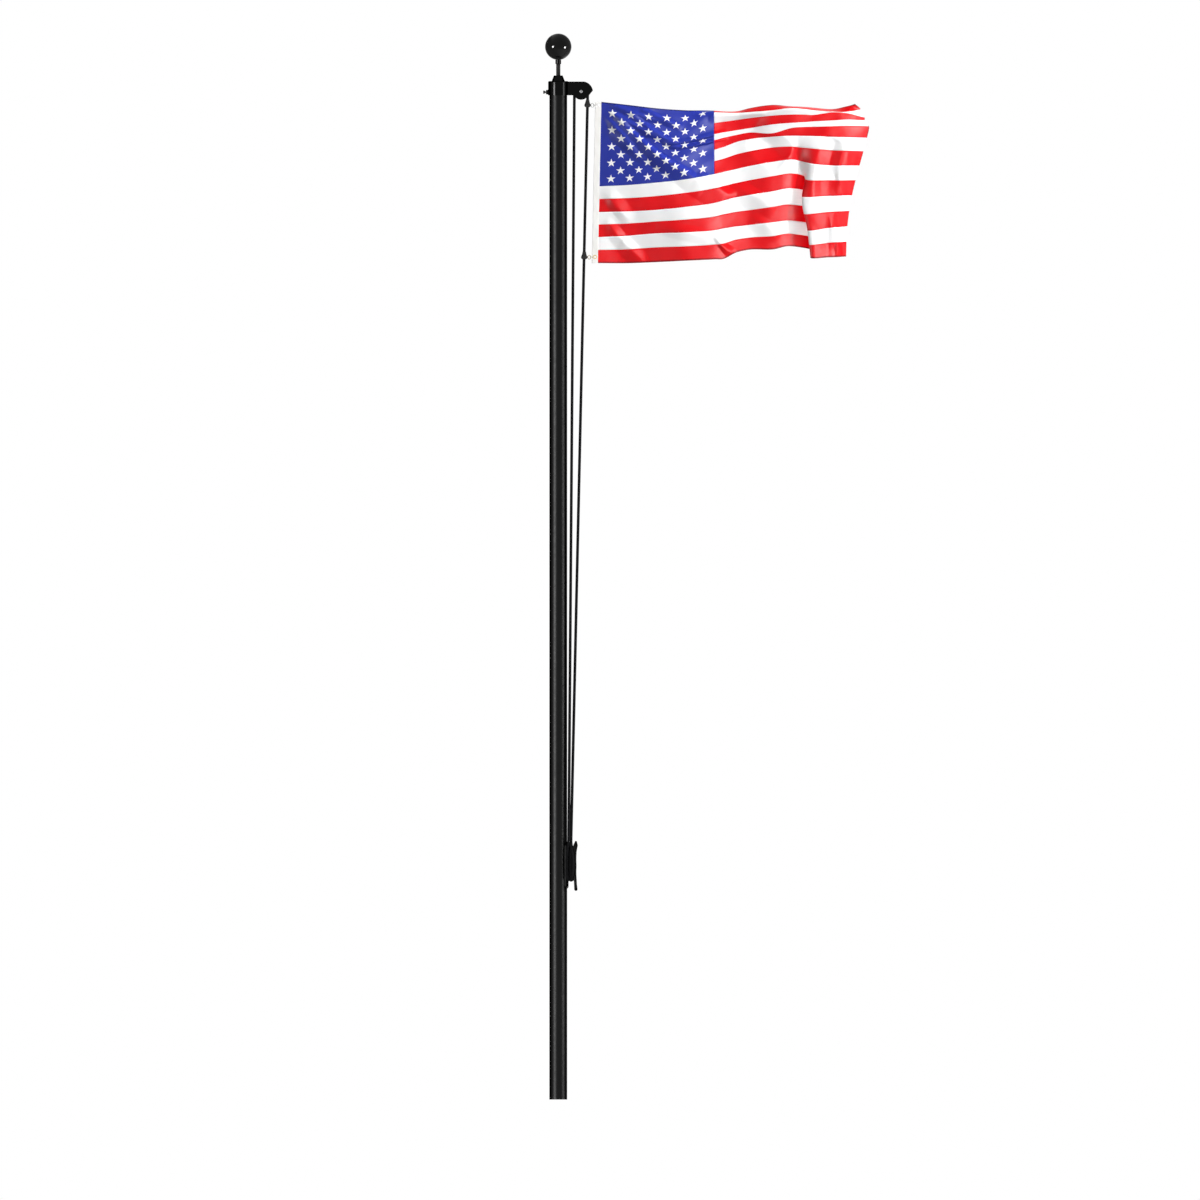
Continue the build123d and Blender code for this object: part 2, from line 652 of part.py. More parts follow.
pieces = {
    "pole_tube": pole_tube,
    "foot_plug": foot_plug,
    "truck": truck,
    "sheave": sheave,
    "axle_bolt": axle_bolt,
    "axle_nut": axle_nut,
    "set_screw": set_screw,
    "set_screw_nut": set_screw_nut,
    "finial_spindle": finial_spindle,
    "finial_neck": finial_neck,
    "finial_ball": finial_ball,
    "cleat": cleat,
    "cleat_screws": cleat_screws,
    "halyard": halyard,
    "halyard_turns": halyard_turns,
    "upper_stopper": upper_stopper,
    "lower_stopper": lower_stopper,
    "upper_snap_hook": upper_snap_hook,
    "lower_snap_hook": lower_snap_hook,
    "upper_grommet": upper_grommet,
    "lower_grommet": lower_grommet,
    "flag_heading": flag_heading,
    "flag_canton": flag_canton,
    "flag_red_stripes": flag_red_stripes,
    "flag_white_stripes": flag_white_stripes,
}
for name, piece in pieces.items():
    piece.part.label = name
    export_step(piece.part, f"parts/{name}.step")
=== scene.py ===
"""Dresses the flagpole: smooth metalwork, braided halyard, hardware and the flying flag."""
import json
import logging
from dataclasses import dataclass, field
from enum import Enum
from math import asin, atan2, cos, hypot, pi, radians, sin

import bmesh
import bpy
import numpy as np
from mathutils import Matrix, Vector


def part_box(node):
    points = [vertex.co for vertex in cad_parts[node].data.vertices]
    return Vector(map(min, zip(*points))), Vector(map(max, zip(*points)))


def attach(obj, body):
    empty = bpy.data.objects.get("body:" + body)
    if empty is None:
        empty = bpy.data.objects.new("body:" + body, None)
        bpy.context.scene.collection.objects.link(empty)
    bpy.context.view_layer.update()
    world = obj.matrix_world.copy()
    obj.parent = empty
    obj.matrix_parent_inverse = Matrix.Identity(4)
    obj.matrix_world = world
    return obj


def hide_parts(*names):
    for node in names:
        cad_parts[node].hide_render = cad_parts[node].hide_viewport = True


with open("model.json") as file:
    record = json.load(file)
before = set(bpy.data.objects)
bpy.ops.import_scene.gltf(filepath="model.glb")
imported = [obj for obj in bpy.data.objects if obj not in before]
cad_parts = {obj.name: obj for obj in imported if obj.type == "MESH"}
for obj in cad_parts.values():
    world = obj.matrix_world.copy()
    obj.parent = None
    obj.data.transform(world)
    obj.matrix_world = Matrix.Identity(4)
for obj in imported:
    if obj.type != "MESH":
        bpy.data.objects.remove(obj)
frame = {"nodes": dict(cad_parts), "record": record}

LOG = logging.getLogger("flagpole")

# Where the photo's pixels lie on the front plane
METRES_PER_PIXEL = 0.0085736
AXIS_PIXEL = 558.26
GROUND_PIXEL = 1099.55
PHOTO_WIDTH = 1200
PHOTO_MIDDLE = 600

# The flat cloth, and the stripe edges at which its flight is given for place and for depth
FLAG_FLY = 2.5
FLAG_HOIST = 1.38
STRIPES = 13
RAILS = np.array([0, 1, 2, 3, 4, 5, 7, 9, 11, 13]) / STRIPES
DEPTH_RAILS = np.array([0, 1, 5, 9, 13]) / STRIPES

# Edges sharper than the angle stay sharp, points nearer than the weld are joined, and directions
# whose product is above the last value run too near one another to span a plane
RIM_ANGLE = radians(38)
WELD = 1e-6
NEAR_ALONG = 0.9
RIGHT, BACK, UP = np.eye(3)

# Values that a cloudy pattern mostly keeps between, and the sockets of a colour mix
CLOUD_LOW, CLOUD_HIGH = 0.3, 0.7
MIX_SHARE, MIX_FIRST, MIX_SECOND, MIX_RESULT = 0, 6, 7, 2


class Body(Enum):
    """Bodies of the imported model."""

    POLE = "pole"
    SHEAVE = "sheave"
    FLAG = "flag"


class Slot(Enum):
    """Material slots of the record."""

    COAT = "black_powder_coat"
    GLOSS = "gloss_black"
    PLASTIC = "black_plastic"
    DARK_STEEL = "dark_steel"
    STEEL = "bright_steel"
    ROPE = "rope_braid"
    RUBBER = "black_rubber"
    CLIP = "clip_plastic"
    BRASS = "brass"
    CANVAS = "white_canvas"
    BLUE = "blue_cloth"
    RED = "red_cloth"
    WHITE = "white_cloth"


def photo_x(pixel: np.ndarray | float) -> np.ndarray | float:
    """Row frame X, in metres, of a pixel column."""
    return (pixel - AXIS_PIXEL) * METRES_PER_PIXEL


def photo_z(pixel: np.ndarray | float) -> np.ndarray | float:
    """Row frame Z, in metres, of a pixel row."""
    return (GROUND_PIXEL - pixel) * METRES_PER_PIXEL


def grid_quads(rows: int, columns: int, ring: bool = False) -> np.ndarray:
    """Quads that join a grid of points, round the columns too where they form a ring.

    Args:
        rows: Points along the first parameter.
        columns: Points along the second parameter.
        ring: True if the last column joins the first.

    Returns:
        An array of four point numbers a quad.
    """
    spans = columns if ring else columns - 1
    row, column = np.meshgrid(np.arange(rows - 1), np.arange(spans), indexing="ij")
    after = (column + 1) % columns
    corners = [row * columns + column, row * columns + after]
    corners += [(row + 1) * columns + after, (row + 1) * columns + column]
    return np.stack(corners, axis=-1).reshape(-1, 4)


@dataclass
class Shell:
    """Points, quads and texture coordinates of one surface, before it becomes a mesh."""

    points: np.ndarray
    quads: np.ndarray
    uv: np.ndarray

    @classmethod
    def of_grid(cls, points: np.ndarray, uv: np.ndarray, ring: bool = False) -> "Shell":
        """Shell over a rows by columns by 3 array of points.

        Args:
            points: Points in metres.
            uv: Texture coordinates, one pair for each point.
            ring: True if the last column joins the first.

        Returns:
            The shell, with a quad in each cell of the grid.
        """
        rows, columns = points.shape[:2]
        return cls(points.reshape(-1, 3), grid_quads(rows, columns, ring), uv.reshape(-1, 2))

    def joined(self, *others: "Shell") -> "Shell":
        """This shell and others as one.

        Args:
            others: Shells to add, each with its own points.

        Returns:
            One shell with the points of all, and each one's quads numbered on.
        """
        shells = (self, *others)
        starts = np.cumsum([0] + [len(s.points) for s in shells[:-1]])
        return Shell(
            np.concatenate([s.points for s in shells]),
            np.concatenate([s.quads + start for s, start in zip(shells, starts)]),
            np.concatenate([s.uv for s in shells]),
        )

    def mesh_object(self, name: str, finish: bpy.types.Material, crisp: bool = True) -> bpy.types.Object:
        """Object at the origin that shows this shell.

        Args:
            name: Name of the object and its mesh.
            finish: Material of the whole piece.
            crisp: True if edges sharper than the rim angle stay sharp.

        Returns:
            The linked object, welded and smooth shaded.
        """
        mesh = bpy.data.meshes.new(name)
        mesh.from_pydata(self.points.tolist(), [], self.quads.tolist())
        layer = mesh.uv_layers.new(name="uv")
        layer.data.foreach_set("uv", self.uv[self.quads.ravel()].astype(np.float32).ravel())
        work = bmesh.new()
        work.from_mesh(mesh)
        bmesh.ops.remove_doubles(work, verts=work.verts, dist=WELD)
        bmesh.ops.recalc_face_normals(work, faces=work.faces)
        work.to_mesh(mesh)
        work.free()
        mesh.polygons.foreach_set("use_smooth", np.ones(len(mesh.polygons), dtype=bool))
        if crisp:
            mesh.set_sharp_from_angle(angle=RIM_ANGLE)
        mesh.materials.append(finish)
        piece = bpy.data.objects.new(name, mesh)
        bpy.context.scene.collection.objects.link(piece)
        return piece


def unit(vectors: np.ndarray) -> np.ndarray:
    """Vectors along the last axis, each at length 1."""
    return vectors / np.linalg.norm(vectors, axis=-1, keepdims=True)


def turned(profile: np.ndarray, centre: np.ndarray, axis: np.ndarray, sides: int = 96) -> Shell:
    """Surface of revolution.

    A point is the centre, plus its profile height along the axis, plus its profile radius along
    a direction that turns once about the axis.

    Args:
        profile: Rows of radius and height, in metres.
        centre: Point on the axis where height is 0.
        axis: Direction of the axis.
        sides: Points round one turn.

    Returns:
        The shell, closed round the turn.
    """
    along = unit(np.asarray(axis, dtype=float))
    across = unit(np.cross(BACK if abs(along @ BACK) < NEAR_ALONG else RIGHT, along))
    ahead = np.cross(along, across)
    angle = np.arange(sides) * 2 * pi / sides
    spoke = np.cos(angle)[:, None] * across + np.sin(angle)[:, None] * ahead
    radius, height = np.asarray(profile, dtype=float).T
    points = centre + height[:, None, None] * along + radius[:, None, None] * spoke[None]
    travel = np.concatenate([[0], np.cumsum(np.hypot(np.diff(radius), np.diff(height)))])
    uv = np.stack(np.broadcast_arrays(angle[None] / (2 * pi), travel[:, None]), axis=-1)
    return Shell.of_grid(points, uv, ring=True)


def swept(
    path: np.ndarray, radius: np.ndarray | float, side: np.ndarray, sides: int = 16, closed: bool = False
) -> Shell:
    """Round section carried along a path.

    A point is the path's point, plus the radius times the cosine of the turn along a direction
    square to the path, plus the radius times the sine along the third direction.

    Args:
        path: Points of the centre line.
        radius: One radius or, on an open path, one for each point or for each point and side.
        side: Direction that the path never runs along, which fixes where each turn starts.
        sides: Points round the section.
        closed: True if the path's end joins its start.

    Returns:
        The shell, capped at both ends unless it is closed.
    """
    if closed:
        path = np.concatenate([path, path[:1]])
        along = unit(np.roll(path[:-1], -1, axis=0) - np.roll(path[:-1], 1, axis=0))
        along = np.concatenate([along, along[:1]])
    else:
        along = unit(np.gradient(path, axis=0))
    across = unit(np.cross(np.asarray(side, dtype=float), along))
    ahead = np.cross(along, across)
    turn = np.arange(sides) * 2 * pi / sides
    spoke = np.cos(turn)[None, :, None] * across[:, None] + np.sin(turn)[None, :, None] * ahead[:, None]
    reach = np.asarray(radius, dtype=float)
    reach = np.broadcast_to(reach.reshape(reach.shape + (1,) * (2 - reach.ndim)), (len(path), sides))
    points = path[:, None] + reach[..., None] * spoke
    travel = np.concatenate([[0], np.cumsum(np.linalg.norm(np.diff(path, axis=0), axis=1))])
    if not closed:
        first, last = (np.repeat(path[i, None, None], sides, axis=1) for i in (0, -1))
        points = np.concatenate([first, points, last])
        travel = np.concatenate([travel[:1], travel, travel[-1:]])
    uv = np.stack(np.broadcast_arrays(turn[None] / (2 * pi), travel[:, None]), axis=-1)
    return Shell.of_grid(points, uv, ring=True)


def through_points(knots: np.ndarray, values: np.ndarray, at: np.ndarray) -> np.ndarray:
    """Smooth curve through given values: each span is the cubic with the knots' own slopes.

    Args:
        knots: Rising places of the given values.
        values: Values at the knots, along the first axis.
        at: Places to read, in one dimension.

    Returns:
        The values at those places, along the first axis.
    """
    slopes = np.gradient(values, knots, axis=0)
    span = np.clip(np.searchsorted(knots, at, side="right") - 1, 0, len(knots) - 2)
    width = knots[span + 1] - knots[span]
    t = ((at - knots[span]) / width).reshape((-1,) + (1,) * (values.ndim - 1))
    width = width.reshape(t.shape)
    before = values[span] * (1 + 2 * t) * (1 - t) ** 2 + slopes[span] * width * t * (1 - t) ** 2
    after = values[span + 1] * t**2 * (3 - 2 * t) + slopes[span + 1] * width * t**2 * (t - 1)
    return before + after


def rounded_route(corners: np.ndarray, samples: int) -> np.ndarray:
    """Uniform cubic B-spline along a route, which starts and ends at the route's own ends.

    Each point is a sum of four control points in a row, weighted by cubics that add up to 1.

    Args:
        corners: Control points.
        samples: Points on each span.

    Returns:
        The points of the curve.
    """
    guide = np.concatenate([corners[:1], corners[:1], corners, corners[-1:], corners[-1:]])
    t = (np.arange(samples) / samples)[None, :, None]
    a, b, c, d = (guide[i : len(guide) - 3 + i][:, None] for i in range(4))
    curve = (1 - t) ** 3 * a + (3 * t**3 - 6 * t**2 + 4) * b
    curve = curve + (-3 * t**3 + 3 * t**2 + 3 * t + 1) * c + t**3 * d
    return np.concatenate([curve.reshape(-1, 3) / 6, corners[-1:]])


class Bench:
    """Node tree of one material, with short ways to add and join nodes."""

    def __init__(self, name: str) -> None:
        """Start a material with one principled shader.

        Args:
            name: Name of the material.
        """
        self.material = bpy.data.materials.new(name)
        self.material.use_nodes = True
        self.tree = self.material.node_tree
        self.shader = self.tree.nodes["Principled BSDF"]
        self.places = self.tree.nodes.new("ShaderNodeTexCoord")

    def paint(self, **values: float | tuple[float, ...]) -> None:
        """Set constant shader sockets, named with underscores for spaces."""
        for key, value in values.items():
            self.shader.inputs[key.replace("_", " ")].default_value = value

    def add(self, kind: str, values: dict | None = None, **options: object) -> bpy.types.Node:
        """Add a node.

        Args:
            kind: Node type.
            values: Constant inputs, or output sockets to join, by input name or number.
            options: Properties of the node.

        Returns:
            The new node.
        """
        node = self.tree.nodes.new(kind)
        for key, value in options.items():
            setattr(node, key, value)
        for key, value in (values or {}).items():
            if isinstance(value, bpy.types.NodeSocket):
                self.tree.links.new(value, node.inputs[key])
            else:
                node.inputs[key].default_value = value
        return node

    def feed(self, socket: str, source: bpy.types.NodeSocket) -> None:
        """Join an output to a shader socket."""
        self.tree.links.new(source, self.shader.inputs[socket])

    def noise(self, scale: float, detail: float = 2, place: str = "Object") -> bpy.types.NodeSocket:
        """Cloudy pattern from 0 to 1 at so many cells a metre."""
        values = {"Vector": self.places.outputs[place], "Scale": scale, "Detail": detail}
        return self.add("ShaderNodeTexNoise", values).outputs[0]

    def ranged(self, source: bpy.types.NodeSocket, low: float, high: float) -> bpy.types.NodeSocket:
        """Cloudy pattern stretched to run from low to high."""
        values = {"From Min": CLOUD_LOW, "From Max": CLOUD_HIGH, "To Min": low, "To Max": high}
        return self.add("ShaderNodeMapRange", {"Value": source} | values).outputs[0]

    def shade(self, source: bpy.types.NodeSocket, low: tuple, high: tuple) -> bpy.types.NodeSocket:
        """Colour that goes from low to high with the source."""
        values = {MIX_SHARE: source, MIX_FIRST: (*low, 1), MIX_SECOND: (*high, 1)}
        return self.add("ShaderNodeMix", values, data_type="RGBA").outputs[MIX_RESULT]

    def bump(self, height: bpy.types.NodeSocket, depth: float, strength: float) -> None:
        """Relief of a depth in metres from a height pattern."""
        values = {"Height": height, "Distance": depth, "Strength": strength}
        self.feed("Normal", self.add("ShaderNodeBump", values).outputs[0])

    def reckon(
        self, operation: str, first: bpy.types.NodeSocket | float, second: bpy.types.NodeSocket | float
    ) -> bpy.types.NodeSocket:
        """Result of sums on two numbers or sockets."""
        return self.add("ShaderNodeMath", {0: first, 1: second}, operation=operation).outputs[0]


@dataclass(frozen=True)
class CoatFinish:
    """Satin black coat on metal, with a fine grain and slightly uneven gloss.

    Grain and clouds are in cells a metre, and depth in metres.
    """

    name: str
    low: float = 0.0095
    high: float = 0.0115
    smooth: float = 0.30
    rough: float = 0.36
    edge: float = 0.10
    rim: float = 0.0
    grain: float = 700
    grain_strength: float = 0.25
    grain_depth: float = 0.0003
    rim_spread: float = 0.42
    tone_cloud: float = 6
    gloss_cloud: float = 26

    def make(self) -> bpy.types.Material:
        """Make the material of this finish.

        Returns:
            Black metal whose tone, gloss and grain vary on clouds of three sizes.
        """
        bench = Bench(self.name)
        bench.paint(Metallic=1.0, Specular_Tint=(self.edge,) * 3 + (1,))
        bench.paint(Sheen_Weight=self.rim, Sheen_Roughness=self.rim_spread)
        tone = bench.noise(self.tone_cloud, detail=3)
        bench.feed("Base Color", bench.shade(tone, (self.low,) * 3, (self.high,) * 3))
        gloss = bench.noise(self.gloss_cloud, detail=3)
        bench.feed("Roughness", bench.ranged(gloss, self.smooth, self.rough))
        bench.bump(bench.noise(self.grain), self.grain_depth, self.grain_strength)
        return bench.material


@dataclass(frozen=True)
class MetalFinish:
    """Bare or plated metal with a brushed, slightly stained surface.

    Stain, brush and grain are in cells a metre, and depth in metres.
    """

    name: str
    low: tuple[float, float, float]
    high: tuple[float, float, float]
    smooth: float = 0.22
    rough: float = 0.38
    stain: float = 120
    brush: float = 420
    grain: float = 1500
    grain_depth: float = 0.0001
    grain_strength: float = 0.3

    def make(self) -> bpy.types.Material:
        """Make the material of this finish.

        Returns:
            Metal with stained tone, brushed gloss and a fine grain.
        """
        bench = Bench(self.name)
        bench.paint(Metallic=1.0)
        bench.feed("Base Color", bench.shade(bench.noise(self.stain, detail=4), self.low, self.high))
        bench.feed("Roughness", bench.ranged(bench.noise(self.brush, detail=3), self.smooth, self.rough))
        bench.bump(bench.noise(self.grain), self.grain_depth, self.grain_strength)
        return bench.material


@dataclass(frozen=True)
class PlasticFinish:
    """Moulded plastic or rubber with a fine texture.

    Grain and clouds are in cells a metre, and depth in metres.
    """

    name: str
    low: tuple[float, float, float]
    high: tuple[float, float, float]
    smooth: float = 0.38
    rough: float = 0.52
    gloss: float = 0.4
    tone_cloud: float = 160
    gloss_cloud: float = 300
    grain: float = 900
    grain_depth: float = 0.0002
    grain_strength: float = 0.4

    def make(self) -> bpy.types.Material:
        """Make the material of this finish.

        Returns:
            Plastic whose tone, gloss and grain vary on clouds of three sizes.
        """
        bench = Bench(self.name)
        bench.paint(Specular_IOR_Level=self.gloss)
        bench.feed("Base Color", bench.shade(bench.noise(self.tone_cloud, detail=3), self.low, self.high))
        bench.feed("Roughness", bench.ranged(bench.noise(self.gloss_cloud), self.smooth, self.rough))
        bench.bump(bench.noise(self.grain), self.grain_depth, self.grain_strength)
        return bench.material


@dataclass(frozen=True)
class BraidFinish:
    """Braided cord: two families of strands that cross over one another round the rope.

    Pitch and depth are in metres, and fuzz in cells a metre.
    """

    name: str
    low: tuple[float, float, float]
    high: tuple[float, float, float]
    strands: float = 8
    pitch: float = 0.075
    gloss: float = 0.03
    fuzz: float = 80
    smooth: float = 0.6
    rough: float = 0.8
    strand_depth: float = 0.0016
    strand_strength: float = 0.8

    def make(self) -> bpy.types.Material:
        """Make the material of this finish, on texture coordinates of turn and length.

        Each family is a wave, from 0 to 1 and back once a strand, that climbs one pitch in a turn.
        One family climbs to the left and one to the right, and the higher of the two shows.

        Returns:
            Cord with raised strands, and painted shade that darkens the hollows between them.
        """
        bench = Bench(self.name)
        bench.paint(Specular_IOR_Level=self.gloss)
        split = bench.add("ShaderNodeSeparateXYZ", {0: bench.places.outputs["UV"]})
        turn = bench.reckon("MULTIPLY", split.outputs[0], self.strands)
        run = bench.reckon("MULTIPLY", split.outputs[1], self.strands / self.pitch)
        ridges = []
        for way in ("ADD", "SUBTRACT"):
            wave = bench.reckon("PINGPONG", bench.reckon(way, turn, run), 0.5)
            ridges.append(bench.reckon("MULTIPLY", wave, 2.0))
        weave = bench.reckon("MAXIMUM", *ridges)
        # Painted shade: the colour runs dark in the hollows between strands and paler on their crests.
        bench.feed("Base Color", bench.shade(weave, self.low, self.high))
        bench.feed("Roughness", bench.ranged(bench.noise(self.fuzz), self.smooth, self.rough))
        bench.bump(weave, self.strand_depth, self.strand_strength)
        return bench.material


@dataclass(frozen=True)
class ClothFinish:
    """Satin woven cloth: fine threads both ways, soft sheen, faint uneven dye and painted shade along its
    hems.

    Threads and clouds are in cells a metre, and hem and depth in metres.
    """

    name: str
    low: tuple[float, float, float]
    high: tuple[float, float, float]
    sheen: float = 0.02
    gloss: float = 0.12
    thread: float = 420
    hem: float = 0.011
    hem_shade: float = 0.45
    hem_edge: float = 1.15
    sheen_spread: float = 0.35
    dye_cloud: float = 7
    gloss_cloud: float = 14
    smooth: float = 0.28
    rough: float = 0.36
    waver: float = 0.4
    thread_depth: float = 0.0004
    thread_strength: float = 0.25

    def make(self) -> bpy.types.Material:
        """Make the material of this finish, on texture coordinates in metres of flat cloth.

        Returns:
            Cloth with waves of thread along and across, and painted shade along its hems where it has them.
        """
        bench = Bench(self.name)
        bench.paint(Specular_IOR_Level=self.gloss)
        bench.paint(Sheen_Weight=self.sheen, Sheen_Roughness=self.sheen_spread)
        dye = bench.shade(bench.noise(self.dye_cloud, detail=4, place="UV"), self.low, self.high)
        bench.feed("Base Color", self.with_hem_shade(bench, dye) if self.hem else dye)
        gloss = bench.noise(self.gloss_cloud, detail=3, place="UV")
        bench.feed("Roughness", bench.ranged(gloss, self.smooth, self.rough))
        threads = []
        for way in ("X", "Y"):
            values = {"Vector": bench.places.outputs["UV"], "Scale": self.thread, "Distortion": self.waver}
            threads.append(bench.add("ShaderNodeTexWave", values, bands_direction=way).outputs[1])
        bench.bump(bench.reckon("MAXIMUM", *threads), self.thread_depth, self.thread_strength)
        return bench.material

    def with_hem_shade(self, bench: Bench, dye: bpy.types.NodeSocket) -> bpy.types.NodeSocket:
        """Darken the colour along the top, bottom and fly edges, as painted shade of the doubled, curled
        hems.

        Args:
            bench: Node tree of the cloth.
            dye: Colour of the single cloth.

        Returns:
            The colour with painted hem shade, by how far each place lies inside the nearest of the three
            edges.
        """
        split = bench.add("ShaderNodeSeparateXYZ", {0: bench.places.outputs["UV"]})
        x, y = split.outputs[0], split.outputs[1]
        inset = y
        for size, place in ((FLAG_HOIST, y), (FLAG_FLY, x)):
            inset = bench.reckon("MINIMUM", inset, bench.reckon("SUBTRACT", size, place))
        values = {"Value": inset, "From Min": self.hem, "From Max": self.hem * self.hem_edge}
        plain = bench.add("ShaderNodeMapRange", values).outputs[0]
        # Painted shade: the hem colour is the dye multiplied by the hem shade value.
        values = {MIX_SHARE: 1.0, MIX_FIRST: dye, MIX_SECOND: (self.hem_shade,) * 3 + (1,)}
        hem_shaded = bench.add("ShaderNodeMix", values, data_type="RGBA", blend_type="MULTIPLY").outputs[MIX_RESULT]
        values = {MIX_SHARE: plain, MIX_FIRST: hem_shaded, MIX_SECOND: dye}
        return bench.add("ShaderNodeMix", values, data_type="RGBA").outputs[MIX_RESULT]


class Finishes:
    """Every material of the scene, made once."""

    def __init__(self) -> None:
        """Make the finishes by slot."""
        plans = {
            Slot.COAT: CoatFinish("black_coat"),
            Slot.GLOSS: CoatFinish(
                "gloss_enamel", 0.007, 0.009, 0.05, 0.09, edge=0.4, rim=0.27, grain=300, grain_strength=0.02
            ),
            Slot.PLASTIC: PlasticFinish("black_plastic", (0.006,) * 3, (0.010,) * 3),
            Slot.DARK_STEEL: MetalFinish(
                "dark_steel", (0.016, 0.016, 0.017), (0.030, 0.029, 0.028), smooth=0.3, rough=0.42
            ),
            Slot.STEEL: MetalFinish("bright_steel", (0.20, 0.20, 0.21), (0.30, 0.30, 0.30)),
            Slot.ROPE: BraidFinish("rope", (0.003, 0.003, 0.0035), (0.011, 0.011, 0.012)),
            Slot.RUBBER: PlasticFinish("rubber", (0.006,) * 3, (0.009,) * 3, 0.5, 0.65, gloss=0.25),
            Slot.CLIP: PlasticFinish("clip", (0.42, 0.42, 0.41), (0.55, 0.55, 0.54), 0.25, 0.35, gloss=0.5),
            Slot.BRASS: MetalFinish("brass", (0.55, 0.40, 0.18), (0.70, 0.52, 0.26)),
            Slot.CANVAS: ClothFinish(
                "canvas", (0.80, 0.79, 0.76), (0.88, 0.87, 0.85), sheen=0.1, gloss=0.15, thread=260, hem=0.0
            ),
            Slot.BLUE: ClothFinish("blue_cloth", (0.0155, 0.028, 0.28), (0.023, 0.038, 0.345)),
            Slot.RED: ClothFinish("red_cloth", (0.64, 0.0013, 0.004), (0.77, 0.0025, 0.007)),
            Slot.WHITE: ClothFinish("white_cloth", (0.84, 0.84, 0.85), (0.90, 0.90, 0.90), hem_shade=0.9),
        }
        self.made = {slot: plan.make() for slot, plan in plans.items()}
        self.casting = CoatFinish(
            "casting_coat", 0.0058, 0.0072, 0.09, 0.13, edge=0.05, grain_strength=0.05
        ).make()
        self.cleat_coat = CoatFinish("cleat_coat", 0.0045, 0.006, 0.40, 0.50).make()
        self.nickel = MetalFinish("nickel", (0.74, 0.73, 0.72), (0.84, 0.83, 0.82)).make()
        self.tan_clip = PlasticFinish(
            "tan_clip", (0.46, 0.38, 0.26), (0.58, 0.49, 0.36), 0.25, 0.35, gloss=0.5
        ).make()

    def __getitem__(self, slot: Slot) -> bpy.types.Material:
        """Material of a slot."""
        return self.made[slot]


def settle(piece: bpy.types.Object, body: Body, slot: Slot, *nodes: str) -> bpy.types.Object:
    """Tie a piece to its body, and hide the plain nodes it stands for.

    Args:
        piece: Finished piece.
        body: Body that it moves with.
        slot: Material slot of the record; not used.
        nodes: Plain nodes that it takes the place of.

    Returns:
        The same piece.
    """
    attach(piece, body.value)
    if nodes:
        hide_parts(*nodes)
    LOG.info("%s: %d faces on %s", piece.name, len(piece.data.polygons), body.value)
    return piece


def box_corners(name: str) -> tuple[np.ndarray, np.ndarray]:
    """Low and high corners of a plain node's box."""
    low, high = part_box(name)
    return np.array(low), np.array(high)


def half_width(name: str) -> float:
    """Half of a plain node's box across the front, which is the radius of an upright round one."""
    low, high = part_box(name)
    return (high[0] - low[0]) / 2


def thickened(piece: bpy.types.Object, thickness: float) -> bpy.types.Object:
    """Give a cloth piece its thickness, half on each side.

    Args:
        piece: Piece of no thickness.
        thickness: Metres through the cloth.

    Returns:
        The same piece.
    """
    skin = piece.modifiers.new("skin", "SOLIDIFY")
    skin.thickness = thickness
    skin.offset = 0
    return piece


def dress_node(name: str, finish: bpy.types.Material) -> None:
    """Give a plain node its finish.

    Args:
        name: Name of the node.
        finish: Material of the whole node.
    """
    mesh = frame["nodes"][name].data
    mesh.materials.clear()
    mesh.materials.append(finish)
    LOG.info("%s: dressed with %s", name, finish.name)


@dataclass
class Pole:
    """The straight tube, with softly broken ends, and the plug in its foot."""

    finishes: Finishes
    wall: float = 0.0048
    chamfer: float = 0.0009
    sides: int = 144
    made_tube: bpy.types.Object | None = field(default=None, init=False)

    def build(self) -> bpy.types.Object:
        """Turn the tube from its wall section.

        Returns:
            The tube, on the row frame's own axis from the ground up.
        """
        radius, top = half_width("pole_tube"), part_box("pole_tube")[1][2]
        inner, cut = radius - self.wall, self.chamfer
        section = [(inner, cut), (inner + cut, 0), (radius - cut, 0), (radius, cut)]
        section += [(radius, top - cut), (radius - cut, top), (inner, top), (inner, cut)]
        shell = turned(np.array(section), np.zeros(3), UP, self.sides)
        return shell.mesh_object("tube", self.finishes[Slot.COAT])

    def dress(self) -> None:
        """Put the tube in place and finish the plug."""
        self.made_tube = settle(self.build(), Body.POLE, Slot.COAT, "pole_tube")
        dress_node("foot_plug", self.finishes[Slot.PLASTIC])


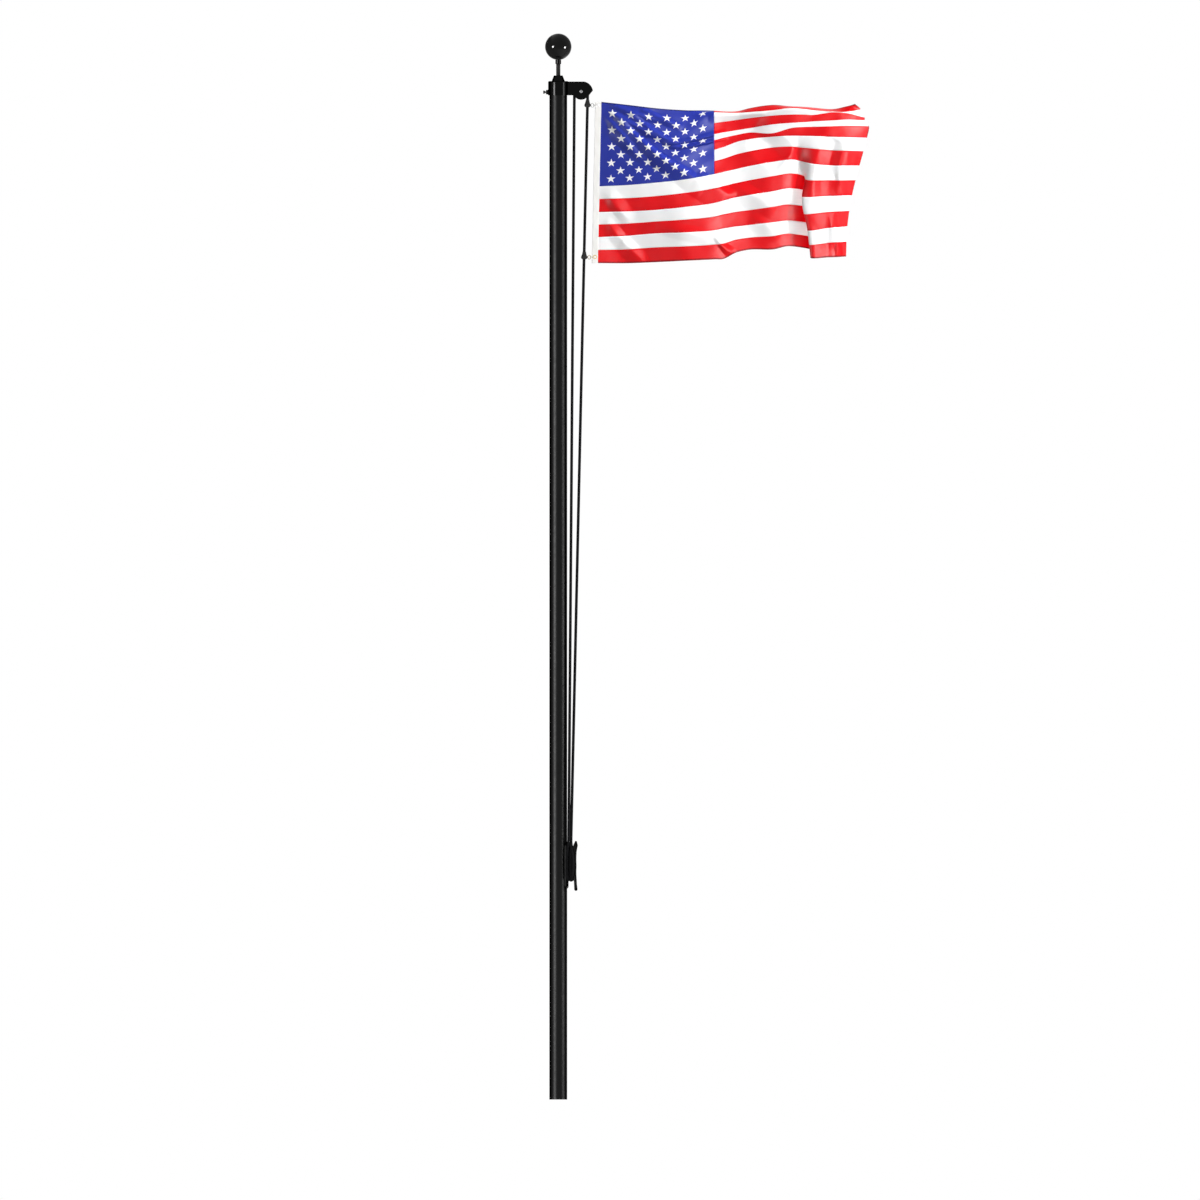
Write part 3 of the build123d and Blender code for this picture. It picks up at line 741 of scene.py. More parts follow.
@dataclass
class Finial:
    """Gloss ball on its rounded neck nut and threaded spindle."""

    finishes: Finishes
    pitch: float = 0.004
    thread_depth: float = 0.0012
    pitch_steps: int = 6
    spindle_sides: int = 48
    neck_round: float = 0.008
    round_steps: int = 10
    seat_gap: float = 0.0005
    ball_rows: int = 90
    ball_sides: int = 160
    made_ball: bpy.types.Object | None = field(default=None, init=False)

    def ball(self) -> bpy.types.Object:
        """Turn the sphere from its half circle, which starts at the neck.

        Returns:
            The ball.
        """
        radius, top = half_width("finial_ball"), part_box("finial_ball")[1][2]
        angle = np.linspace(-pi / 2 + asin(half_width("finial_neck") / radius), pi / 2, self.ball_rows)
        section = np.stack([radius * np.cos(angle), radius * np.sin(angle)], axis=1)
        section[-1, 0] = 0
        shell = turned(section, np.array([0, 0, top - radius]), UP, self.ball_sides)
        return shell.mesh_object("ball", self.finishes[Slot.GLOSS])

    def neck(self) -> bpy.types.Object:
        """Turn the neck nut with a rounded lower edge.

        Returns:
            The nut, open along the spindle and just under the ball.
        """
        low, high = box_corners("finial_neck")
        radius, bore, bend = half_width("finial_neck"), half_width("finial_spindle"), self.neck_round
        top = high[2] - low[2] - self.seat_gap
        angle = np.linspace(-pi / 2, 0, self.round_steps)
        curve = np.stack([radius - bend + bend * np.cos(angle), bend + bend * np.sin(angle)], axis=1)
        section = np.concatenate([[(bore, 0)], curve, [(radius, top), (bore, top)]])
        shell = turned(section, np.array([0, 0, low[2]]), UP)
        return shell.mesh_object("neck", self.finishes.casting)

    def spindle(self) -> bpy.types.Object:
        """Sweep the threaded rod: its radius falls from crest to root and back in each pitch of climb.

        Returns:
            The rod.
        """
        low, high = box_corners("finial_spindle")
        height = np.arange(0, high[2] - low[2], self.pitch / self.pitch_steps)
        turn = np.arange(self.spindle_sides) / self.spindle_sides
        phase = (height[:, None] / self.pitch - turn[None]) % 1
        reach = half_width("finial_spindle") - self.thread_depth * np.abs(2 * phase - 1)
        path = np.stack([0 * height, 0 * height, low[2] + height], axis=1)
        shell = swept(path, reach, -BACK, self.spindle_sides)
        return shell.mesh_object("spindle", self.finishes[Slot.DARK_STEEL], crisp=False)

    def dress(self) -> None:
        """Put the three pieces in place."""
        self.made_ball = settle(self.ball(), Body.POLE, Slot.GLOSS, "finial_ball")
        settle(self.neck(), Body.POLE, Slot.COAT, "finial_neck")
        settle(self.spindle(), Body.POLE, Slot.DARK_STEEL, "finial_spindle")


@dataclass
class Truck:
    """Casting at the pole's top, with its sheave, axle bolt and set screw."""

    finishes: Finishes
    bore: float = 0.0082
    hub: float = 0.0195
    hub_break: float = 0.001
    web: tuple[float, float] = (0.0215, 0.040)
    web_half: float = 0.008
    rim: tuple[float, float] = (0.0415, 0.0425)
    rim_half: tuple[float, float] = (0.0165, 0.017)
    flange_break: float = 0.001
    groove_radius: float = 0.0122
    groove_inset: float = 0.0078
    groove_steps: int = 17

    def sheave(self) -> bpy.types.Object:
        """Turn the wheel from hub, dished web and grooved rim.

        Returns:
            The wheel, whose section is mirrored about its middle.
        """
        low, high = box_corners("sheave")
        centre, half, radius = (low + high) / 2, (high[1] - low[1]) / 2, (high[2] - low[2]) / 2
        flange, cut = self.rim_half[1], self.flange_break
        side = [(self.bore, -half), (self.hub, -half), (self.hub + self.hub_break, -half + self.hub_break)]
        side += [(reach, -self.web_half) for reach in self.web]
        side += [(reach, -wide) for reach, wide in zip(self.rim, self.rim_half)]
        side += [(radius - cut, -flange), (radius, -flange + cut), (radius, -self.groove_radius)]
        angle = np.linspace(-pi / 2, pi / 2, self.groove_steps)
        bed = radius - self.groove_inset - self.groove_radius * np.cos(angle)
        bowl = np.stack([bed, self.groove_radius * np.sin(angle)], axis=1)
        section = np.concatenate([side, bowl, np.array(side)[::-1] * [1, -1], side[:1]])
        return turned(section, centre, BACK).mesh_object("sheave_wheel", self.finishes[Slot.PLASTIC])

    def dress(self) -> None:
        """Put the sheave in place and finish the plain nodes."""
        settle(self.sheave(), Body.SHEAVE, Slot.PLASTIC, "sheave")
        dress_node("truck", self.finishes.casting)
        for name in ("axle_bolt", "axle_nut"):
            dress_node(name, self.finishes[Slot.STEEL])
        for name in ("set_screw", "set_screw_nut"):
            dress_node(name, self.finishes[Slot.COAT])


@dataclass
class Halyard:
    """Braided rope: two taut runs over the sheave, made fast in turns on the cleat.

    Places on the cleat are given as across its face, up from its middle and out from the pole's axis.
    """

    finishes: Finishes
    cleat_azimuth: float = radians(-28)
    cleat_height: float = 2.003
    rope_radius: float = 0.0123
    sides: int = 20
    run_steps: int = 560
    arc_steps: int = 41
    turn_steps: int = 14
    slide_foot: tuple[float, float, float] = (0.029, -0.103, 0.1065)
    inner_turns: tuple[tuple[float, float, float], ...] = (
        (-0.0200, 0.212, 0.1119),
        (-0.0215, 0.190, 0.1085),
        (-0.0250, 0.150, 0.103),
        (-0.0265, 0.080, 0.101),
        (-0.0280, 0.000, 0.101),
        (-0.0265, -0.070, 0.101),
        (-0.0220, -0.105, 0.101),
        (0.0, -0.127, 0.101),
        (0.0220, -0.105, 0.101),
        (0.0265, -0.070, 0.101),
        (0.0265, 0.080, 0.101),
        (0.0220, 0.145, 0.101),
        (0.0, 0.172, 0.101),
        (-0.012, 0.166, 0.103),
    )
    outer_turns: tuple[tuple[float, float, float], ...] = (
        (0.0310, 0.212, 0.1079),
        (0.0306, 0.190, 0.1092),
        (0.0285, 0.150, 0.1180),
        (0.0262, 0.080, 0.1345),
        (0.0255, -0.070, 0.1345),
        (0.0220, -0.105, 0.1345),
        (0.0, -0.127, 0.1345),
        (-0.0220, -0.105, 0.1345),
        (-0.0255, -0.060, 0.1345),
        (-0.0275, 0.030, 0.1355),
        (-0.0255, 0.100, 0.1345),
        (-0.0210, 0.145, 0.1345),
        (0.0, 0.173, 0.1345),
        (0.0210, 0.150, 0.138),
        (0.0265, 0.090, 0.148),
        (0.0265, -0.060, 0.152),
        (0.0200, -0.115, 0.136),
        (0.0, -0.127, 0.118),
        (-0.0200, -0.118, 0.138),
        (-0.0265, -0.060, 0.156),
        (-0.0285, 0.020, 0.160),
        (-0.0265, 0.090, 0.157),
        (-0.0200, 0.150, 0.140),
        (0.0, 0.189, 0.118),
        (0.020, 0.178, 0.112),
    )

    def __post_init__(self) -> None:
        """Read the sheave's place and pitch from the record."""
        behaviour = frame["record"]["behaviour"]
        spin = next(j for j in behaviour["joints"] if j["name"] == "sheave_spin")
        self.axle = np.array(spin["pos_m"], dtype=float)
        self.pitch = 1 / behaviour["couplings"][0]["ratio"]
        self.out = np.array([cos(self.cleat_azimuth), sin(self.cleat_azimuth), 0])
        self.side = np.array([-sin(self.cleat_azimuth), cos(self.cleat_azimuth), 0])

    def on_cleat(self, places: tuple) -> np.ndarray:
        """Points in the row frame of places on the cleat.

        Args:
            places: One place, or a row of places.

        Returns:
            One point or a row of points, in metres.
        """
        across, up, reach = np.array(places, dtype=float).T
        rise = np.multiply.outer(up + self.cleat_height, UP)
        return np.multiply.outer(reach, self.out) + np.multiply.outer(across, self.side) + rise

    def run_top(self, foot: np.ndarray, way: int) -> tuple[np.ndarray, float]:
        """Point where a run leaves the sheave, and its bearing about the axle.

        Args:
            foot: Lower end of the run.
            way: 1 for the outer run and -1 for the inner one.

        Returns:
            The point, and the bearing in radians from +X towards +Z.
        """
        span = foot - self.axle
        bearing = atan2(span[2], span[0]) + way * (pi / 2 - asin(self.pitch / hypot(span[0], span[2])))
        return self.axle + self.pitch * np.array([cos(bearing), 0, sin(bearing)]), bearing % (2 * pi)

    def slide_point(self, height: float) -> np.ndarray:
        """Point on the line that the flag's stoppers slide along.

        Args:
            height: Metres above the ground.

        Returns:
            The point at that height.
        """
        foot = self.on_cleat(self.slide_foot)
        top, _ = self.run_top(foot, 1)
        return foot + (top - foot) * (height - foot[2]) / (top[2] - foot[2])

    def runs(self) -> bpy.types.Object:
        """Sweep the rope up one run, over the sheave and down the other to the cleat.

        Returns:
            Both runs and the turn over the sheave as one piece.
        """
        inner_foot, outer_foot = self.on_cleat(self.inner_turns)[0], self.on_cleat(self.outer_turns)[0]
        inner_top, inner_bearing = self.run_top(inner_foot, -1)
        outer_top, outer_bearing = self.run_top(outer_foot, 1)
        if inner_bearing < outer_bearing:
            inner_bearing += 2 * pi
        share = np.linspace(0, 1, self.run_steps)[:-1, None]
        bearing = np.linspace(inner_bearing, outer_bearing, self.arc_steps)[:-1]
        arc = self.axle + self.pitch * np.stack([np.cos(bearing), 0 * bearing, np.sin(bearing)], axis=1)
        legs = [inner_foot + (inner_top - inner_foot) * share, arc]
        legs += [outer_top + (outer_foot - outer_top) * share, [outer_foot]]
        shell = swept(np.concatenate(legs), self.rope_radius, BACK, self.sides)
        return shell.mesh_object("halyard_runs", self.finishes[Slot.ROPE])

    def turns(self) -> bpy.types.Object:
        """Sweep the rope that is wound round the cleat, carried on from the feet of both runs.

        Returns:
            Both windings as one piece.
        """
        shells = []
        for places in (self.inner_turns, self.outer_turns):
            route = rounded_route(self.on_cleat(places), self.turn_steps)
            shells.append(swept(route, self.rope_radius, self.out, self.sides))
        return shells[0].joined(*shells[1:]).mesh_object("halyard_hitch", self.finishes[Slot.ROPE])

    def dress(self) -> None:
        """Put the rope in place."""
        settle(self.runs(), Body.POLE, Slot.ROPE, "halyard")
        settle(self.turns(), Body.POLE, Slot.ROPE, "halyard_turns")


@dataclass
class Cleat:
    """Cast cleat with its two screws."""

    finishes: Finishes

    def dress(self) -> None:
        """Finish the plain nodes."""
        dress_node("cleat", self.finishes.cleat_coat)
        dress_node("cleat_screws", self.finishes[Slot.DARK_STEEL])


@dataclass(frozen=True)
class Station:
    """Upright slice of the flying cloth, read from the photo in pixels and guessed in depth.

    Attributes:
        share: Place along the cloth, 0 at the hoist and 1 at the fly.
        columns: Pixel columns, from top to bottom or at each rail.
        rows: Pixel rows at each rail.
        depths: Metres behind the front plane at the depth rails.
    """

    share: float
    columns: tuple[float, ...]
    rows: tuple[float, ...]
    depths: tuple[float, ...]


@dataclass(frozen=True)
class Wrinkle:
    """Creased ridge along a straight line of cloth shares, lost at both ends.

    Attributes:
        start: Shares along the fly and down the hoist where the ridge starts.
        end: Shares where it ends.
        below: Width in metres of the face on the line's lower left.
        above: Width in metres of the face on its upper right.
        height: Metres that the crest stands forward, or less than 0 for a hollow.
    """

    start: tuple[float, float]
    end: tuple[float, float]
    below: float
    above: float
    height: float


@dataclass
class Flag:
    """Striped flag with a starred canton, flying in a light wind.

    Lengths are in metres. Shares run from 0 at the hoist to 1 at the fly and from 0 at the top to 1 at
    the bottom. The stars' start and pitch are shares of the canton.
    """

    finishes: Finishes
    fly: float = FLAG_FLY
    hoist: float = FLAG_HOIST
    canton_share: float = 0.4
    stripes: int = STRIPES
    canton_stripes: int = 7
    thickness: float = 0.0022
    step: float = 0.008
    star_rows: int = 9
    star_columns: int = 11
    star_start: tuple[float, float] = (0.1, 0.124)
    star_pitch: tuple[float, float] = (0.08, 0.0991)
    star_points: int = 5
    star_radius: float = 0.040
    star_waist: float = 0.382
    star_rise: float = 0.0014
    star_edge_steps: int = 6
    star_rings: int = 11
    stations: tuple[Station, ...] = (
        Station(
            0.0,
            (601.0, 597.2),
            (101.8, 114.2, 126.6, 139.0, 151.0, 163.0, 186.3, 212.0, 237.1, 263.1),
            (0, 0, 0, 0, 0),
        ),
        Station(
            0.1,
            (630, 627),
            (105.1, 116.5, 127.9, 139.3, 150.8, 162.2, 185.0, 211.4, 235.8, 263.2),
            (-0.01, -0.02, -0.03, -0.02, 0.01),
        ),
        Station(
            0.2,
            (658, 655),
            (108.4, 119.0, 129.6, 140.2, 150.8, 161.4, 182.6, 209.9, 233.4, 262.2),
            (0.0, -0.01, -0.05, -0.05, -0.02),
        ),
        Station(
            0.3,
            (686.5, 684),
            (110.3, 119.5, 129.2, 138.8, 148.2, 157.5, 179.4, 207.0, 232.4, 260.8),
            (0.03, 0.01, -0.04, -0.07, -0.07),
        ),
        Station(
            0.4,
            (713.9, 714.5),
            (110.7, 112.2, 123.2, 134.2, 140.4, 149.8, 174.1, 202.9, 230.2, 259.3),
            (0.10, 0.03, 0.0, -0.05, -0.07),
        ),
        Station(
            0.44,
            (725.5, 724.5),
            (111.6, 112.6, 121.6, 132.2, 137.4, 146.5, 171.6, 200.2, 228.2, 258.6),
            (0.11, 0.04, 0.01, -0.04, -0.06),
        ),
        Station(
            0.475,
            (737.5, 735.5),
            (111.2, 112.8, 119.9, 130.2, 134.9, 142.0, 169.0, 197.3, 226.5, 252.8),
            (0.10, 0.04, 0.01, -0.03, -0.05),
        ),
        Station(
            0.51,
            (748, 747),
            (108.6, 112.2, 118.3, 128.5, 132.8, 139.5, 166.5, 195.3, 225.2, 250.0),
            (0.07, 0.02, 0.0, -0.03, -0.04),
        ),
        Station(
            0.59,
            (773, 773),
            (105.0, 110.2, 115.6, 124.4, 133.2, 136.7, 161.9, 191.2, 222.3, 249.4),
            (0.03, -0.03, -0.03, -0.05, -0.04),
        ),
        Station(
            0.65,
            (790, 792),
            (106.3, 108.2, 114.6, 122.9, 128.2, 135.7, 159.6, 188.3, 220.6, 246.3),
            (0.03, -0.05, -0.04, -0.03, -0.02),
        ),
        Station(
            0.7,
            (805, 805, 804.8, 804.2, 803, 801.5, 800, 809, 815, 818),
            (107.0, 109.0, 114.6, 122.2, 127.1, 135.8, 161.0, 192.0, 225.0, 252.0),
            (0.04, -0.05, -0.04, 0.03, 0.06),
        ),
        Station(
            0.735,
            (812, 812, 812, 812, 812.5, 813, 811, 802, 807.5, 810.5),
            (107.6, 110.0, 115.1, 121.5, 126.9, 136.0, 163.5, 196.5, 230.2, 257.5),
            (0.05, -0.04, -0.05, -0.09, -0.10),
        ),
        Station(
            0.8,
            (829.6, 829),
            (109.2, 111.6, 112.6, 120.6, 126.4, 136.7, 165.3, 195.9, 227.9, 257.3),
            (0.04, -0.04, -0.06, -0.09, -0.10),
        ),
        Station(
            0.9,
            (846, 846.5, 847.3, 848, 849, 850, 846, 841, 838.5, 838),
            (106.5, 111.8, 113.4, 119.6, 125.9, 137.3, 165.5, 195.6, 227.2, 257.0),
            (0.0, -0.04, -0.05, -0.07, -0.08),
        ),
        Station(
            1.0,
            (855.0, 860.8, 864.6, 864.8, 869, 867, 859.5, 852, 847.3, 846),
            (104.0, 109.2, 117.6, 120.4, 126.2, 137.8, 165.6, 195.4, 226.4, 256.5),
            (-0.03, -0.01, -0.01, -0.02, -0.03),
        ),
    )
    wrinkles: tuple[Wrinkle, ...] = (
        Wrinkle((0.05, 0.09), (0.37, 0.60), 0.110, 0.035, 0.046),
        Wrinkle((0.00, 0.06), (0.13, 0.31), 0.035, 0.030, 0.016),
        Wrinkle((0.02, 0.05), (0.20, 0.21), 0.040, 0.030, 0.020),
        Wrinkle((0.03, 0.01), (0.21, 0.10), 0.035, 0.030, 0.018),
        Wrinkle((0.14, 0.02), (0.29, 0.13), 0.050, 0.030, 0.024),
        Wrinkle((0.10, 0.06), (0.28, 0.28), 0.060, 0.030, 0.030),
        Wrinkle((0.02, 0.16), (0.17, 0.40), 0.045, 0.035, 0.018),
        Wrinkle((0.22, 0.265), (0.45, 0.235), 0.018, 0.040, 0.030),
        Wrinkle((0.24, 0.285), (0.45, 0.325), 0.018, 0.030, 0.030),
        Wrinkle((0.01, 0.56), (0.11, 0.76), 0.055, 0.080, 0.017),
        Wrinkle((0.02, 0.74), (0.10, 0.91), 0.070, 0.050, 0.017),
        Wrinkle((0.08, 0.87), (0.17, 1.02), 0.080, 0.060, 0.016),
        Wrinkle((0.34, 0.52), (0.47, 0.69), 0.140, 0.040, 0.028),
        Wrinkle((0.20, 0.80), (0.42, 0.90), 0.060, 0.060, 0.014),
        Wrinkle((0.40, 0.88), (0.47, 1.00), 0.025, 0.035, 0.020),
        Wrinkle((0.38, 0.105), (0.57, 0.110), 0.065, 0.030, 0.022),
        Wrinkle((0.56, 0.13), (0.50, 0.34), 0.100, 0.080, -0.012),
        Wrinkle((0.53, 0.36), (0.63, 0.54), 0.120, 0.120, -0.028),
        Wrinkle((0.46, 0.62), (0.60, 0.78), 0.090, 0.050, 0.016),
        Wrinkle((0.52, 0.80), (0.62, 0.92), 0.080, 0.040, 0.014),
        Wrinkle((0.83, 0.40), (0.79, 0.58), 0.120, 0.100, -0.022),
        Wrinkle((0.91, 0.42), (0.85, 0.62), 0.160, 0.140, 0.014),
        Wrinkle((0.752, 0.56), (0.772, 0.73), 0.040, 0.040, 0.015),
        Wrinkle((0.84, 0.58), (0.94, 0.74), 0.110, 0.090, 0.018),
        Wrinkle((0.78, 0.72), (0.84, 0.94), 0.090, 0.100, 0.020),
        Wrinkle((0.85, 0.86), (0.94, 1.02), 0.110, 0.080, 0.016),
    )
    crest_round: float = 0.12
    end_fade: float = 0.7
    held_share: float = 0.04
    ripple_height: float = 0.0022
    ripple_waves: tuple[tuple[float, float], ...] = ((21, 9), (-5, 17))
    made_cloth: list[bpy.types.Object] = field(default_factory=list, init=False)

    def __post_init__(self) -> None:
        """Spread the stations over the rails."""
        self.knots = np.array([s.share for s in self.stations])
        ends = {2: np.array([0.0, 1.0]), len(RAILS): RAILS}
        columns = [np.interp(RAILS, ends[len(s.columns)], s.columns) for s in self.stations]
        self.reach = photo_x(np.array(columns))
        self.level = photo_z(np.array([s.rows for s in self.stations]))
        self.depth = np.array([np.interp(RAILS, DEPTH_RAILS, s.depths) for s in self.stations])

    def cloth_point(self, u: np.ndarray, v: np.ndarray) -> np.ndarray:
        """Point of the flying cloth.

        Smooth curves through the stations along the cloth and through the rails down it give
        place and depth; each wrinkle then adds a ridge of two flat faces across its line.

        Args:
            u: Shares along the fly, one for each column.
            v: Shares down the hoist, one for each row.

        Returns:
            Rows by columns by 3 points, in metres.
        """
        field = np.stack([self.reach, self.depth, self.level], axis=-1)
        lines = through_points(self.knots, field, u)
        points = through_points(RAILS, np.swapaxes(lines, 0, 1), v)
        points[..., 1] += self.relief(u[None, :], v[:, None])
        return points

    def loose_points(self, u: np.ndarray, v: np.ndarray, lift: float) -> np.ndarray:
        """Points over the canton at paired shares, read from the nearest four of its own grid.

        Args:
            u: Shares along the fly.
            v: Shares down the hoist, as many.
            lift: Metres behind the middle of the cloth, or less than 0 for in front of it.

        Returns:
            The points, in metres.
        """
        grid_u, grid_v = self.shares(0, self.canton_share, 0, self.canton_stripes / self.stripes)
        grid = self.cloth_point(grid_u, grid_v)
        grid += lift * unit(np.cross(np.gradient(grid, axis=1), np.gradient(grid, axis=0)))
        a, b = u / grid_u[1], v / grid_v[1]
        i, j = np.clip(a.astype(int), 0, len(grid_u) - 2), np.clip(b.astype(int), 0, len(grid_v) - 2)
        s, t = (a - i)[..., None], (b - j)[..., None]
        low = grid[j, i] * (1 - s) + grid[j, i + 1] * s
        high = grid[j + 1, i] * (1 - s) + grid[j + 1, i + 1] * s
        return low * (1 - t) + high * t

    def relief(self, u: np.ndarray, v: np.ndarray) -> np.ndarray:
        """Depth that the wrinkles and a faint ripple add, none at the heading that holds the cloth.

        Args:
            u: Shares along the fly.
            v: Shares down the hoist, of a shape that goes with u.

        Returns:
            Metres to add in Y.
        """
        x, z = u * self.fly, v * self.hoist
        total = np.zeros(np.broadcast(u, v).shape)
        for fold in self.wrinkles:
            start = np.array(fold.start) * [self.fly, self.hoist]
            run = np.array(fold.end) * [self.fly, self.hoist] - start
            length = np.hypot(*run)
            along = ((x - start[0]) * run[0] + (z - start[1]) * run[1]) / length**2
            across = ((x - start[0]) * run[1] - (z - start[1]) * run[0]) / length
            fade = np.clip(1 - (2 * along - 1) ** 2, 0, 1) ** self.end_fade
            away = np.where(across < 0, across / fold.below, across / fold.above)
            ridge = np.clip(1 + self.crest_round - np.hypot(away, self.crest_round), 0, 1)
            total = total - fold.height * fade * ridge
        ripple = self.ripple_height
        for along, down in self.ripple_waves:
            ripple = ripple * np.sin(x * along + z * down)
        return np.clip(u / self.held_share, 0, 1) * (total + ripple)

    def shares(self, u0: float, u1: float, v0: float, v1: float) -> tuple[np.ndarray, np.ndarray]:
        """Evenly stepped shares between two along the fly and two down the hoist.

        Args:
            u0: First share along the fly.
            u1: Last share along the fly.
            v0: First share down the hoist.
            v1: Last share down the hoist.

        Returns:
            The shares along and the shares down.
        """
        u = np.linspace(u0, u1, max(int((u1 - u0) * self.fly / self.step), 2) + 1)
        v = np.linspace(v0, v1, max(int((v1 - v0) * self.hoist / self.step), 2) + 1)
        return u, v

    def patch(self, u0: float, u1: float, v0: float, v1: float) -> Shell:
        """Cloth between two shares along and two down.

        Args:
            u0: First share along the fly.
            u1: Last share along the fly.
            v0: First share down the hoist.
            v1: Last share down the hoist.

        Returns:
            The shell, with texture coordinates in metres of flat cloth.
        """
        u, v = self.shares(u0, u1, v0, v1)
        uv = np.stack(np.meshgrid(u * self.fly, v * self.hoist), axis=-1)
        return Shell.of_grid(self.cloth_point(u, v), uv)

    def canton(self) -> bpy.types.Object:
        """Blue corner."""
        shell = self.patch(0, self.canton_share, 0, self.canton_stripes / self.stripes)
        return thickened(shell.mesh_object("canton", self.finishes[Slot.BLUE], crisp=False), self.thickness)

    def stripe_set(self, first: int, name: str, slot: Slot) -> bpy.types.Object:
        """Every other stripe, from the given one, as one piece.

        Args:
            first: Number of the set's topmost stripe.
            name: Name of the piece.
            slot: Slot of its cloth.

        Returns:
            The piece, whose stripes beside the canton start at its edge.
        """
        shells = []
        for stripe in range(first, self.stripes, 2):
            start = self.canton_share if stripe < self.canton_stripes else 0
            shells.append(self.patch(start, 1, stripe / self.stripes, (stripe + 1) / self.stripes))
        piece = shells[0].joined(*shells[1:]).mesh_object(name, self.finishes[slot], crisp=False)
        return thickened(piece, self.thickness)

    def stars(self, face: int) -> bpy.types.Object:
        """Five-pointed stars in staggered rows, laid on one face of the canton.

        Args:
            face: -1 for the front and 1 for the back.

        Returns:
            All the stars of that face as one piece.
        """
        row, column = np.meshgrid(np.arange(self.star_rows), np.arange(self.star_columns), indexing="ij")
        used = (row + column) % 2 == 0
        centre_u = (self.star_start[0] + self.star_pitch[0] * column[used]) * self.canton_share
        centre_v = (self.star_start[1] + self.star_pitch[1] * row[used]) * self.canton_stripes / self.stripes
        corner = np.arange(2 * self.star_points + 1)
        bearing = corner * pi / self.star_points
        reach = np.where(corner % 2 == 0, self.star_radius, self.star_radius * self.star_waist)
        place = np.arange(2 * self.star_points * self.star_edge_steps) / self.star_edge_steps
        ring = np.linspace(0, 1, self.star_rings)[:, None]
        across = ring * np.interp(place, corner, reach * np.sin(bearing))
        down = -ring * np.interp(place, corner, reach * np.cos(bearing))
        u = centre_u[:, None, None] + across / self.fly
        v = centre_v[:, None, None] + down / self.hoist
        points = self.loose_points(u, v, face * (self.thickness / 2 + self.star_rise))
        uv = np.stack([u * self.fly, v * self.hoist], axis=-1)
        shells = [Shell.of_grid(points[i], uv[i], ring=True) for i in range(len(points))]
        name = "stars_front" if face < 0 else "stars_back"
        return shells[0].joined(*shells[1:]).mesh_object(name, self.finishes[Slot.WHITE], crisp=False)

    def dress(self) -> None:
        blue = settle(self.canton(), Body.FLAG, Slot.BLUE, "flag_canton")
        red = self.stripe_set(0, "red_stripes", Slot.RED)
        settle(red, Body.FLAG, Slot.RED, "flag_red_stripes")
        white = self.stripe_set(1, "white_stripes", Slot.WHITE)
        settle(white, Body.FLAG, Slot.WHITE, "flag_white_stripes")
        marks = [settle(self.stars(face), Body.FLAG, Slot.WHITE) for face in (-1, 1)]
        self.made_cloth = [blue, red, white]


@dataclass
class Heading:
    """Canvas strip along the hoist, with holes for its grommets."""

    finishes: Finishes
    width: float = 0.052
    thickness: float = 0.0045
    hole: float = 0.0125
    rows: int = 460
    columns: int = 19
    ripple_height: float = 0.0012
    ripple_rate: float = 40

    def strip(self) -> bpy.types.Object:
        """Spread the canvas between its slanted edges, and leave out the faces at the grommets.

        Returns:
            The strip with its thickness.
        """
        low, high = box_corners("flag_heading")
        steps = (np.linspace(0, 1, count) for count in (self.rows, self.columns))
        down, across = np.meshgrid(*steps, indexing="ij")
        lean = high[0] - low[0] - self.width
        x = low[0] + lean * (1 - down) + self.width * across
        z = high[2] + (low[2] - high[2]) * down
        y = self.ripple_height * np.sin(z * self.ripple_rate) * np.sin(across * pi)
        shell = Shell.of_grid(np.stack([x, y, z], axis=-1), np.stack([x, z], axis=-1))
        middles = shell.points[shell.quads].mean(axis=1)
        for name in ("upper_grommet", "lower_grommet"):
            centre = sum(box_corners(name)) / 2
            away = np.hypot(middles[:, 0] - centre[0], middles[:, 2] - centre[2]) > self.hole
            shell.quads, middles = shell.quads[away], middles[away]
        piece = shell.mesh_object("heading", self.finishes[Slot.CANVAS], crisp=False)
        return thickened(piece, self.thickness)

    def dress(self) -> None:
        strip = settle(self.strip(), Body.FLAG, Slot.CANVAS, "flag_heading")


